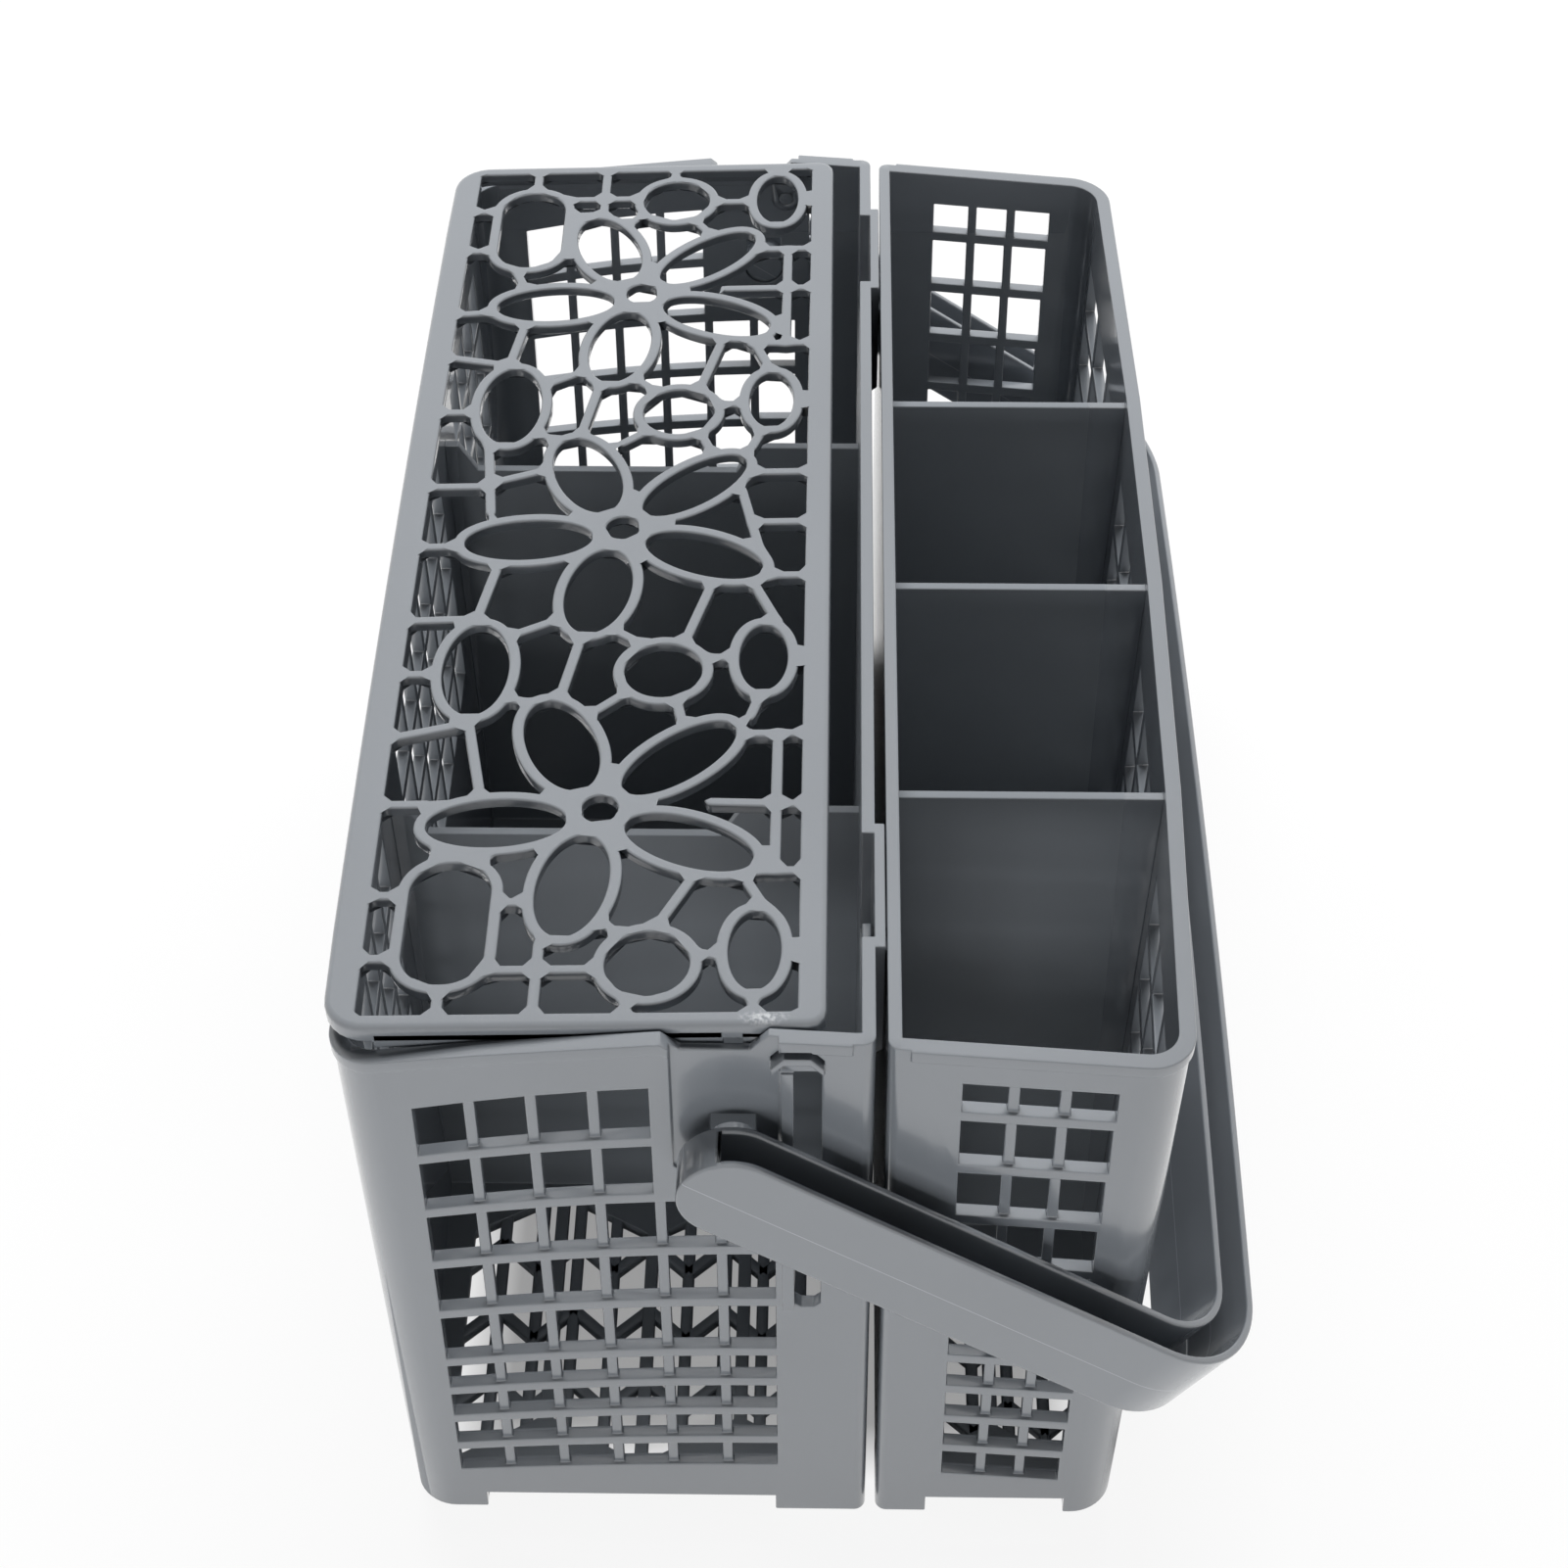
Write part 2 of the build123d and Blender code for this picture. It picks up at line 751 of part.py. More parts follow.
def frame_points(x, y, grow):
    """Corner points of a long frame with cut corners, grown all round."""
    half_x = frame_half_width + grow
    half_y = frame_half_length + grow
    cut_x = half_x - frame_corner
    cut_y = half_y - frame_corner
    right = [(half_x, -cut_y), (half_x, cut_y), (cut_x, half_y)]
    left = [(-cut_x, half_y), (-half_x, cut_y), (-half_x, -cut_y)]
    corners = [*right, *left, (-cut_x, -half_y), (cut_x, -half_y)]
    return [(x + corner_x, y + corner_y) for corner_x, corner_y in corners]


def bar_points(start, end):
    """Corner points of a straight lattice bar between two points."""
    run_x = end[0] - start[0]
    run_y = end[1] - start[1]
    half = lid_bar / 2 / hypot(run_x, run_y)
    ahead_x, ahead_y = run_x * half, run_y * half
    return [
        (start[0] - ahead_x + ahead_y, start[1] - ahead_y - ahead_x),
        (end[0] + ahead_x + ahead_y, end[1] + ahead_y - ahead_x),
        (end[0] + ahead_x - ahead_y, end[1] + ahead_y + ahead_x),
        (start[0] - ahead_x - ahead_y, start[1] - ahead_y + ahead_x),
    ]


# Lattice of the lid, seen from above: petals of one flower from its eye, as offset and turn
petals = [
    ((-7.2, 15.2), 110),
    ((12.5, 11.8), 42),
    ((-16.7, -3.0), 4),
    ((14.8, -7.8), -24),
    ((-3.5, -17.0), 81),
]

# Rings between the flowers: the side of the flower, its place from that flower's eye
circles = [(-1, (9.0, -33.8)), (0, (9.0, -38.2)), (1, (8.7, -37.8)), (1, (5.6, 31.8))]
ovals = [(0, (-23.0, -37.2)), (1, (-22.8, -35.0))]
small_ovals = [(-1, (26.0, -31.2)), (0, (26.0, -34.9)), (1, (26.0, -34.2)), (1, (26.0, 31.8))]
frames = [(-1, (-22.8, -24.6)), (1, (-23.2, 22.4))]

# Links that every flower has, from its eye, and links at the two ends of the lid; those that run to the
# border go on past its inner edge, which trims them
flower_links = [
    ((-48.0, -4.6), (-28.0, -4.6)),
    ((21.0, -15.0), (44.0, -15.0)),
    ((21.5, 15.0), (44.0, 15.0)),
    ((16.0, 1.0), (44.0, 1.0)),
]
inner_links = [
    ((-21.5, -10.0), (-23.8, -23.5)),
    ((-48.0, -19.8), (-25.0, -24.2)),
    ((-48.0, -38.4), (-28.5, -38.4)),
    ((-16.8, -28.6), (-10.5, -25.0)),
    ((-6.5, -28.6), (-8.5, -43.5)),
    ((-1.0, -27.5), (3.6, -31.5)),
    ((13.0, -30.8), (16.8, -17.0)),
    ((23.5, -17.0), (27.0, -26.0)),
    ((16.0, -35.0), (21.2, -35.0)),
    ((3.5, -43.5), (-2.0, -47.8)),
    ((12.0, -45.4), (13.0, -50.5)),
    ((-17.5, -44.2), (-13.5, -46.0)),
    ((-24.0, -49.0), (-21.5, -66.5)),
    ((-48.0, -55.9), (-24.0, -51.5)),
    ((25.0, -43.5), (22.5, -50.0)),
]
slant_links = [((21.5, 9.8), (26.0, -13.5))]
upright_links = [((28.6, 15.0), (28.6, -15.0))]
front_links = [
    ((-48.0, -19.3), (-30.0, -19.3)),
    ((-48.0, -32.8), (-30.0, -32.8)),
    ((-15.5, -21.0), (-10.0, -21.0)),
    ((-16.0, -35.4), (1.0, -35.4)),
    ((-7.9, -28.5), (-7.9, -60.0)),
    ((1.5, -26.0), (4.0, -28.0)),
    ((10.5, -26.2), (15.2, -16.5)),
    ((24.5, -17.0), (27.0, -23.0)),
    ((16.4, -32.4), (21.2, -32.4)),
    ((-22.8, -38.5), (-22.8, -60.0)),
    ((6.5, -40.5), (6.5, -60.0)),
    ((26.0, -39.8), (26.0, -60.0)),
    ((-27.0, -8.5), (-26.0, -12.0)),
    ((-18.0, -8.5), (-18.5, -12.0)),
]
back_links = [
    ((-48.0, 29.0), (-30.5, 29.0)),
    ((-48.0, 15.2), (-30.5, 15.2)),
    ((-23.2, 36.5), (-23.2, 60.0)),
    ((-9.2, 26.5), (-9.2, 60.0)),
    ((4.8, 39.0), (4.8, 60.0)),
    ((26.5, 40.5), (26.5, 60.0)),
    ((-16.0, 33.0), (-2.0, 33.0)),
    ((13.5, 31.2), (21.0, 31.2)),
    ((-2.0, 25.6), (-5.0, 22.5)),
    ((9.5, 24.6), (12.5, 20.0)),
    ((21.5, 22.0), (24.0, 24.0)),
    ((-24.5, 8.5), (-23.5, 3.0)),
    ((-16.0, 27.5), (-10.5, 27.5)),
    ((-16.0, 13.0), (-13.0, 14.5)),
]


def lid_lattice():
    """Flat lattice of the lid: rings and links joined, then the rings' holes taken out."""
    eyes = {side: flower_first + (side + 1) * flower_pitch for side in (-1, 0, 1)}
    stretch = flower_pitch / flower_module
    solids = []
    holes = []

    def outline(side, points):
        placed = [(flower_x + x, eyes[side] + y * stretch) for x, y in points]
        return Polygon(*placed, align=None)

    def add_ring(side, centre, half_x, half_y, turn):
        solids.append(outline(side, ring_points(*centre, half_x + lid_ring, half_y + lid_ring, turn)))
        holes.append(outline(side, ring_points(*centre, half_x, half_y, turn)))

    def add_links(side, links):
        for start, end in links:
            solids.append(outline(side, bar_points(start, end)))

    for side in eyes:
        add_ring(side, (0, 0), flower_eye_radius, flower_eye_radius, 0)
        for offset, turn in petals:
            add_ring(side, offset, petal_half_length, petal_half_width, radians(turn))
        add_links(side, flower_links)
    for side, offset in circles:
        add_ring(side, offset, circle_radius, circle_radius, 0)
    for side, offset in ovals:
        add_ring(side, offset, oval_half_width, oval_half_length, 0)
    for side, offset in small_ovals:
        add_ring(side, offset, small_oval_half_width, small_oval_half_length, 0)
    for side, offset in frames:
        solids.append(outline(side, frame_points(*offset, lid_ring)))
        holes.append(outline(side, frame_points(*offset, 0)))
    for side in (0, 1):
        add_links(side, inner_links)
    add_links(0, slant_links)
    for side in (-1, 1):
        add_links(side, upright_links)
    add_links(-1, front_links)
    add_links(1, back_links)
    return Sketch() + solids - holes


def lid_face(left_inset, right_inset, end_inset, left_radius, right_radius):
    """Outline of the lid seen from above, moved inwards by the insets, with rounded corners."""
    left = lid_right - lid_width + left_inset
    right = lid_right - right_inset
    front = lid_end + end_inset
    back = length - front
    bowed = [(left - bow, y) for y, bow in reversed(bows_at(main_partitions, lid_bow))]
    face = Polygon((left, front), (right, front), (right, back), (left, back), *bowed, align=None)
    for x, radius in ((left, left_radius), (right, right_radius)):
        if radius == 0:
            continue
        corners = [face.vertices().sort_by_distance((x, y))[0] for y in (front, back)]
        face = fillet(corners, radius)
    return face


def make_lid():
    """Flip lid: a flat openwork plate with a border, end skirts and two hinge ears."""
    outline = lid_face(0, 0, 0, lid_outer_radius, lid_inner_radius)
    field = lid_face(lid_border_left, lid_border_right, lid_border_end, 0, 0)
    flat = extrude(outline - field, amount=-lid_border_height)
    flat += extrude(lid_lattice() & field, amount=-lid_lattice_height)
    skirt = box_between(
        (lid_right - lid_width + lid_skirt_start, lid_end, -lid_skirt_depth),
        (lid_skirt_end, lid_end + lid_skirt_thickness, -lid_border_height / 2),
    )
    flat += both_ends(skirt)
    lid = Pos(lid_right, 0, lid_right_height) * Rot(0, -lid_slope, 0) * Pos(-lid_right, 0, 0) * flat

    hinge_centre = Pos(hinge_x, hinge_z)
    web_height = lid_right_height - lid_border_height - hinge_z
    ear = Pos(hinge_x, hinge_z - hinge_ear_radius) * Rectangle(
        2 * hinge_ear_radius, hinge_ear_radius + web_height, align=(Align.CENTER, Align.MIN)
    )
    ear = chamfer(ear.vertices().group_by(Axis.Y)[0], hinge_ear_radius / 2)
    ear -= hinge_centre * Circle(hinge_pin_radius + hinge_clearance)
    lid += both_ends(across(ear, lid_end, lid_end + lid_border_end - lid_end_gap))
    return lid


def handle_band(inset):
    """Plan of the handle in its own plane: a U-shaped band, moved inwards from both of its edges."""
    outer_front = -handle_side_gap - handle_width + inset
    inner_front = -handle_side_gap - inset
    outer_back = length - outer_front
    inner_back = length - inner_front
    far = handle_reach - inset
    near = handle_reach - handle_width + inset
    start = -handle_depth
    outer_radius = handle_corner_radius - inset
    inner_radius = handle_corner_radius - handle_width + inset
    outer = [
        Line((start, outer_front), (far, outer_front)),
        ThreePointArc((far, outer_front), (far + handle_bow, middle_y), (far, outer_back)),
        Line((far, outer_back), (start, outer_back)),
        Line((start, outer_back), (start, outer_front)),
    ]
    inner = [
        Line((start, inner_front), (near, inner_front)),
        ThreePointArc((near, inner_front), (near + handle_bow, middle_y), (near, inner_back)),
        Line((near, inner_back), (start, inner_back)),
        Line((start, inner_back), (start, inner_front)),
    ]
    outer_face = make_face(outer)
    outer_face = fillet(outer_face.vertices().group_by(Axis.X)[-1], outer_radius)
    inner_face = make_face(inner)
    inner_face = fillet(inner_face.vertices().group_by(Axis.X)[-1], inner_radius)
    return outer_face - inner_face


def handle_side_view(low, radius):
    """Side view of an arm: rounded about the pivot, then straight to past the crossbar."""
    run = handle_reach + handle_bow + cut_margin
    return Circle(radius) + Pos(0, low) * Rectangle(run, radius - low, align=(Align.MIN, Align.MIN))


def make_carry_handle():
    """Carry handle, a deep channel with closed rounded ends and a pivot pin on each arm."""
    half_depth = handle_depth / 2
    front = -handle_side_gap - handle_width - cut_margin
    back = length - front
    outer = Pos(0, 0, -half_depth) * extrude(handle_band(0), amount=handle_depth)
    outer &= across(handle_side_view(-half_depth, half_depth), front, back)
    hollow = Pos(0, 0, -half_depth) * extrude(handle_band(handle_wall), amount=2 * handle_depth)
    channel_view = handle_side_view(-half_depth + handle_web, half_depth - handle_wall)
    channel_view += Rectangle(2 * handle_reach, handle_depth, align=(Align.MIN, Align.MIN))
    hollow &= across(channel_view, front, back)
    handle = outer - hollow
    pin_root = -handle_side_gap - handle_wall / 2
    pin = across(Circle(pivot_pin_radius), pin_root, handle_pin_length - handle_side_gap)
    handle += both_ends(pin)
    return Pos(pivot_x, 0, pivot_z) * Rot(0, handle_tilt, 0) * handle


pieces = {
    "main_basket": make_main_basket(),
    "side_basket": make_side_basket(),
    "lid": make_lid(),
    "carry_handle": make_carry_handle(),
}

# The shared frame: below the middle of the whole object, on the surface it stands on
boxes = [piece.bounding_box() for piece in pieces.values()]
left, right = min(box.min.X for box in boxes), max(box.max.X for box in boxes)
front, back = min(box.min.Y for box in boxes), max(box.max.Y for box in boxes)
shift = Pos(-(left + right) / 2, -(front + back) / 2, -min(box.min.Z for box in boxes))

os.makedirs("parts", exist_ok=True)
for name, piece in pieces.items():
    export_step(shift * piece, f"parts/{name}.step")
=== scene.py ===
"""Looks of a dishwasher cutlery basket: four grey plastic mouldings on a white studio floor.

Sizes are in millimetres in the part's modelling frame, where X = 0 is the gap between the baskets and
Y runs along them from the front end wall. Each finished mesh is then put into the shared frame in metres.
"""
from math import cos, pi, radians, sin

import bmesh
import bpy
import numpy as np
from mathutils import Matrix, Vector
from mathutils.geometry import delaunay_2d_cdt


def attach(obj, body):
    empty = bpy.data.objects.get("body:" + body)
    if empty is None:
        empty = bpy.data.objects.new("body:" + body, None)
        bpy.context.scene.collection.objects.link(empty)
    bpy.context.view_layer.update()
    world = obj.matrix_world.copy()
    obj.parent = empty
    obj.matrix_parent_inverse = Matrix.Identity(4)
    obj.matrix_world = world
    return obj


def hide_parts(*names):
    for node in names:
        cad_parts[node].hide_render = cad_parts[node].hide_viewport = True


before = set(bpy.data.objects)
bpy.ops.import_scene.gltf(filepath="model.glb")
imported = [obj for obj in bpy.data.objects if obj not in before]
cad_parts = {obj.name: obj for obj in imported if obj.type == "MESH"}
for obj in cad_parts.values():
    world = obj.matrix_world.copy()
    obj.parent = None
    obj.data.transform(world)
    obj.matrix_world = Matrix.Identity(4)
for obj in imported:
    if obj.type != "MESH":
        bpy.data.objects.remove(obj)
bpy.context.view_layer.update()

MM = 0.001
MODEL_SHIFT = Vector((10.8138, -120.0, 0.0))
TO_FRAME = Matrix.Scale(MM, 4) @ Matrix.Translation(MODEL_SHIFT)
LENGTH = 240.0
MIDDLE_Y = LENGTH / 2

# Edges of the mouldings
WELD = 0.001
SHARP_ANGLE = radians(28.0)
FLAT_ANGLE = radians(0.2)
EDGE_RADIUS = 0.24
EDGE_STEPS = 2
ROUND_PROFILE = 0.5
FLAT_WEIGHT = 90

# Lid, seen from above in its own plane
LID_RIGHT = -8.7
LID_WIDTH = 77.4
LID_BOW = 0.9
LID_END = 2.8
LID_HEIGHT = 130.1
LID_SLOPE = radians(1.66)
LID_BORDER_LEFT = 5.3
LID_BORDER_RIGHT = 4.5
LID_BORDER_END = 2.8
LID_OUTER_RADIUS = 7.0
LID_INNER_RADIUS = 3.0
BORDER_HEIGHT = 3.2
BORDER_ROUNDING = 1.1
RIM_WIDTH = 2.0
LATTICE_HEIGHT = 2.0
LATTICE_ROUNDING = 0.45
LATTICE_UNDERSIDE_ROUNDING = 0.25
BAR_WIDTH = 1.9
RING_WIDTH = 2.0
JOIN_FILLET = 1.5
OPENING_CORNER = 1.0
GRID_STEP = 0.35
OUTLINE_STEP = 0.8
FEWEST_POINTS = 8
BORDER_STEPS = 4
RIM_STEPS = 2
LATTICE_STEPS = 3
LATTICE_UNDERSIDE_STEPS = 1
TINY_SLOPE = 1e-6
MESHING_TOLERANCE = 1e-5

# Lattice of the lid: a petal is its offset from the eye, half sizes and turn, and a link its two ends
EYES = [(-45.9, 49.6), (-45.9, 120.8), (-45.9, 192.0)]
EYE_RADIUS = 3.0
HUB_RADIUS = 7.0
PETALS = [
    ((-7.2, 15.2), (11.2, 5.7), 110),
    ((12.5, 11.8), (11.5, 5.0), 42),
    ((-16.7, -3.0), (11.4, 5.3), 3),
    ((14.8, -7.8), (11.2, 5.1), -24),
    ((-3.4, -17.1), (11.1, 5.7), 82),
]
CIRCLES = [(-40.4, 223.8), (-37.2, 154.3), (-37.0, 82.8), (-36.6, 15.6)]
CIRCLE_RADIUS = 6.6
RIGHT_OVALS = [(-20.0, 223.8), (-20.0, 157.6), (-20.0, 85.8), (-20.0, 18.2)]
RIGHT_OVAL = (4.1, 8.2)
LEFT_OVALS = [(-68.8, 157.0), (-69.1, 83.7)]
LEFT_OVAL = (5.7, 11.3)
FRAMES = [((-69.2, 214.5), (6.3, 12.75)), ((-68.6, 24.7), (6.5, 12.9))]
FRAME_CORNER = 6.2
LINKS = [
    ((-69, 236), (-69, 228)), ((-55, 236), (-55, 219)), ((-41, 236), (-41, 231.5)),
    ((-19.5, 236), (-19.5, 233.5)), ((-61.5, 225), (-48.5, 225)), ((-32.5, 223.3), (-25.5, 223.3)),
    ((-48, 218), (-50.5, 215)), ((-36.5, 217), (-33.5, 212.5)), ((-61.3, 219.5), (-56, 219.5)),
    ((-62, 205.5), (-58.5, 206)), ((-23.5, 206.5), (-13, 206.5)), ((-17.6, 206), (-17.6, 175.5)),
    ((-30, 193.3), (-13, 193.3)), ((-24, 175.3), (-13, 175.3)), ((-82, 221.3), (-77, 221.3)),
    ((-82, 207.5), (-77, 207.5)), ((-82, 186.3), (-75, 186.8)), ((-71, 200), (-69.5, 196)),
    ((-82, 172.5), (-70.5, 169.8)), ((-68, 183), (-70, 170.5)), ((-82, 155.3), (-75.5, 155.3)),
    ((-62.5, 163.5), (-56.5, 167)), ((-52.5, 163), (-55, 148.5)), ((-46, 165), (-42.5, 161.5)),
    ((-33.5, 161.5), (-30, 175.5)), ((-23.5, 175.5), (-20.5, 167.5)), ((-30, 156.5), (-25, 156.5)),
    ((-42.5, 149), (-47.5, 145)), ((-33, 148), (-31, 143)), ((-63.5, 149), (-60, 146.5)),
    ((-72, 145.5), (-70, 125.5)), ((-82, 133.3), (-71, 133.3)), ((-70.5, 134.3), (-61.5, 137.5)),
    ((-21, 150), (-23.5, 143)), ((-24, 136.2), (-13, 136.2)), ((-24.8, 131), (-19.7, 107)),
    ((-22, 122), (-13, 122)), ((-20, 107.3), (-13, 107.3)), ((-82, 116.3), (-75.5, 116.5)),
    ((-67.5, 111), (-69.8, 98)), ((-82, 96.5), (-71, 96.8)), ((-62.8, 92.8), (-56.5, 96)),
    ((-82, 82.7), (-76, 82.7)), ((-51.5, 92), (-54, 77.5)), ((-46, 93.5), (-42, 90.5)),
    ((-33.5, 90.5), (-29.5, 105)), ((-22, 105), (-18, 95.5)), ((-30, 86), (-25.3, 86)),
    ((-43, 77.5), (-48, 73)), ((-34.5, 75.5), (-33.5, 71)), ((-63, 76.5), (-60, 75.5)),
    ((-71, 70), (-82, 67)), ((-69, 70), (-66, 54.5)), ((-20.5, 76), (-22, 71)),
    ((-22, 67), (-13, 67)), ((-17.2, 67), (-17.2, 36)), ((-28, 51), (-13, 50.3)),
    ((-20, 35.3), (-13, 35.3)), ((-82, 51.2), (-74, 51.2)), ((-82, 30.7), (-77, 30.7)),
    ((-82, 17.2), (-76.8, 17.2)), ((-71.5, 41), (-71.5, 39)), ((-63.5, 41), (-63.5, 39)),
    ((-61, 29), (-56.5, 29)), ((-62, 14.6), (-45, 14.6)), ((-53.7, 20), (-53.7, 4.5)),
    ((-44, 24.5), (-42, 22.5)), ((-35.5, 23.5), (-30.5, 33.5)), ((-21.5, 33), (-18.5, 27)),
    ((-29.3, 17.5), (-25.3, 17.5)), ((-68.5, 10.5), (-68.5, 4)), ((-39.5, 8), (-39.5, 5)),
    ((-20, 8.3), (-20, 5.3)),
]

# Skirts and hinge ears under the lid
SKIRT_DEPTH = 4.6
SKIRT_THICKNESS = 1.6
SKIRT_START = 8.0
SKIRT_END = -24.5
HINGE_X = -18.5
HINGE_Z = 122.5
HINGE_EAR_RADIUS = 3.0
HINGE_HOLE_RADIUS = 1.45
HINGE_EAR_THICKNESS = 2.5
HINGE_STEPS = 24
EAR_TOP = 127.6
EAR_MIDDLE = 0.01

# Carry handle, a channel bent into a U
PIVOT_X = -23.2
PIVOT_Z = 103.5
PIN_RADIUS = 3.95
PIN_LENGTH = 5.0
PIN_STEPS = 32
HANDLE_REACH = 100.35
HANDLE_BOW = 1.6
HANDLE_WIDTH = 8.0
HANDLE_SIDE_GAP = 2.6
HANDLE_DEPTH = 17.4
HANDLE_WALL = 1.4
HANDLE_WEB = 1.8
HANDLE_CORNER = 20.0
HANDLE_TILT = radians(35.0)
HANDLE_EDGE = 0.45
HANDLE_END_OPENING = 6.4
PARTING_LINE = -0.9
PARTING_LINE_WIDTH = 0.16
CUT_MARGIN = 6.0
PAST_CROSSBAR = HANDLE_REACH + HANDLE_BOW + CUT_MARGIN
CORNER_STEPS = 20
BOW_STEPS = 16

# Floor bars of the baskets
FLOOR_TOP = 6.5
FLOOR_BAR_WIDTH = 2.2
FLOOR_BAR_HEIGHT = 2.0
FLOOR_BAR_ROUNDING = 0.35
FLOOR_ROW_PITCH = 15.5
FLOOR_LEAN = radians(44.0)
FLOOR_MARGIN = 3.0
MAIN_FLOOR = {"left": -77.0, "right": -6.2, "columns": 10, "walls": (2.5, 70.0, 170.0, 237.5)}
SIDE_FLOOR = {"left": 5.6, "right": 37.8, "columns": 5, "walls": (2.5, 61.0, 114.0, 167.0, 237.5)}

# Plastic and its marks
PLASTIC_GREY = (0.196, 0.214, 0.236)
BASKET_ROUGHNESS = 0.22
LID_ROUGHNESS = 0.24
HANDLE_ROUGHNESS = 0.25
CLOUD_SCALE = 14.0
CLOUD_DETAIL = 4.0
CLOUD_STOPS = (0.3, 0.7)
CLOUD_TINTS = (0.94, 1.05)
CLOUD_GLOSS = (-0.03, 0.05)
GRAIN_SCALE = 900.0
GRAIN_DETAIL = 2.0
GRAIN_STRENGTH = 0.05
GRAIN_HEIGHT = 0.2
PLASTIC_IOR = 1.5
SPECULAR_LEVEL = 0.9
COAT_WEIGHT = 0.8
COAT_ROUGHNESS = 0.09
INSIDES = [((-81.6, 2.6), (-3.3, 237.4)), ((2.7, 2.6), (40.4, 237.4))]
INSIDE_ROUGHENING = 0.2
# Pale colour of the handle's parting line: a painted highlight on the real moulding line
PARTING_LINE_HIGHLIGHT_COLOUR = (0.34, 0.36, 0.39, 1.0)
SCUFF_PLACE = (-18.5, 4.2, 130.0)
SCUFF_SIZE = (4.5, 1.6, 2.0)
SCUFF_COLOUR = (0.62, 0.64, 0.66, 1.0)
SCUFF_STRENGTH = 0.8
SPECKLE_SCALE = 1400.0
SPECKLE_DETAIL = 3.0
SPECKLE_START = 0.42
SPECKLE_CONTRAST = 5.0

# Studio, in metres in the shared frame
WHITE = (1.0, 1.0, 1.0, 1.0)
FLOOR_PAINT = (0.9, 0.9, 0.9, 1.0)
FLOOR_REACH = 4.0
FLOOR_GLOW = 0.9
# Painted shadow on the floor below the baskets: a dimmer glow to the eye, and no white glow in reflections
PAINTED_SHADOW_GLOW = 0.3
PAINTED_SHADOW_EDGE = 0.012
PAINTED_REFLECTION_SHADOW_SIDES, PAINTED_REFLECTION_SHADOW_ENDS = (-0.072, 0.072), (-0.118, 0.118)
PAINTED_SHADOW_SIDES, PAINTED_SHADOW_ENDS = (-0.068, 0.051), (-0.113, 0.113)
FILL_STRENGTH = 0.08
TOP_LIGHT = {"place": (0.0, 0.7, 1.15), "target": (0.0, 0.0, 0.1), "size": (1.2, 0.6), "power": 25.0}
FRONT_LIGHT = {"place": (-0.2, -1.2, 0.12), "target": (0.0, 0.0, 0.06), "size": (0.9, 0.2), "power": 6.2}
CAMERA_PLACE = (0.002137, -0.427146, 0.484468)
CAMERA_PITCH = radians(44.416)
CAMERA_YAW = radians(-1.161)
CAMERA_ROLL = radians(-0.356)
CAMERA_LENS = 71.3
CAMERA_NEAR = 0.01
SENSOR_WIDTH = 36.0


# Materials

def node(tree, kind, **settings):
    """New shader or geometry node with the given properties."""
    made = tree.nodes.new(kind)
    for name, value in settings.items():
        setattr(made, name, value)
    return made


def maths(tree, operation, *values):
    """Output of a maths node whose values are numbers or other nodes' outputs."""
    made = node(tree, "ShaderNodeMath", operation=operation)
    for socket, value in zip(made.inputs, values):
        if isinstance(value, (int, float)):
            socket.default_value = value
        else:
            tree.links.new(value, socket)
    return made.outputs[0]


def mixed(tree, share, first, second):
    """Colour output that goes from the first colour to the second with the share."""
    mix = node(tree, "ShaderNodeMix", data_type="RGBA")
    colours = [socket for socket in mix.inputs if socket.type == "RGBA"]
    tree.links.new(share, mix.inputs["Factor"])
    for socket, value in zip(colours, (first, second)):
        if isinstance(value, tuple):
            socket.default_value = value
        else:
            tree.links.new(value, socket)
    return next(socket for socket in mix.outputs if socket.type == "RGBA")


def within(tree, value, low, high):
    """1 where a value lies between two limits, else 0."""
    return maths(tree, "COMPARE", value, (low + high) / 2, (high - low) / 2)


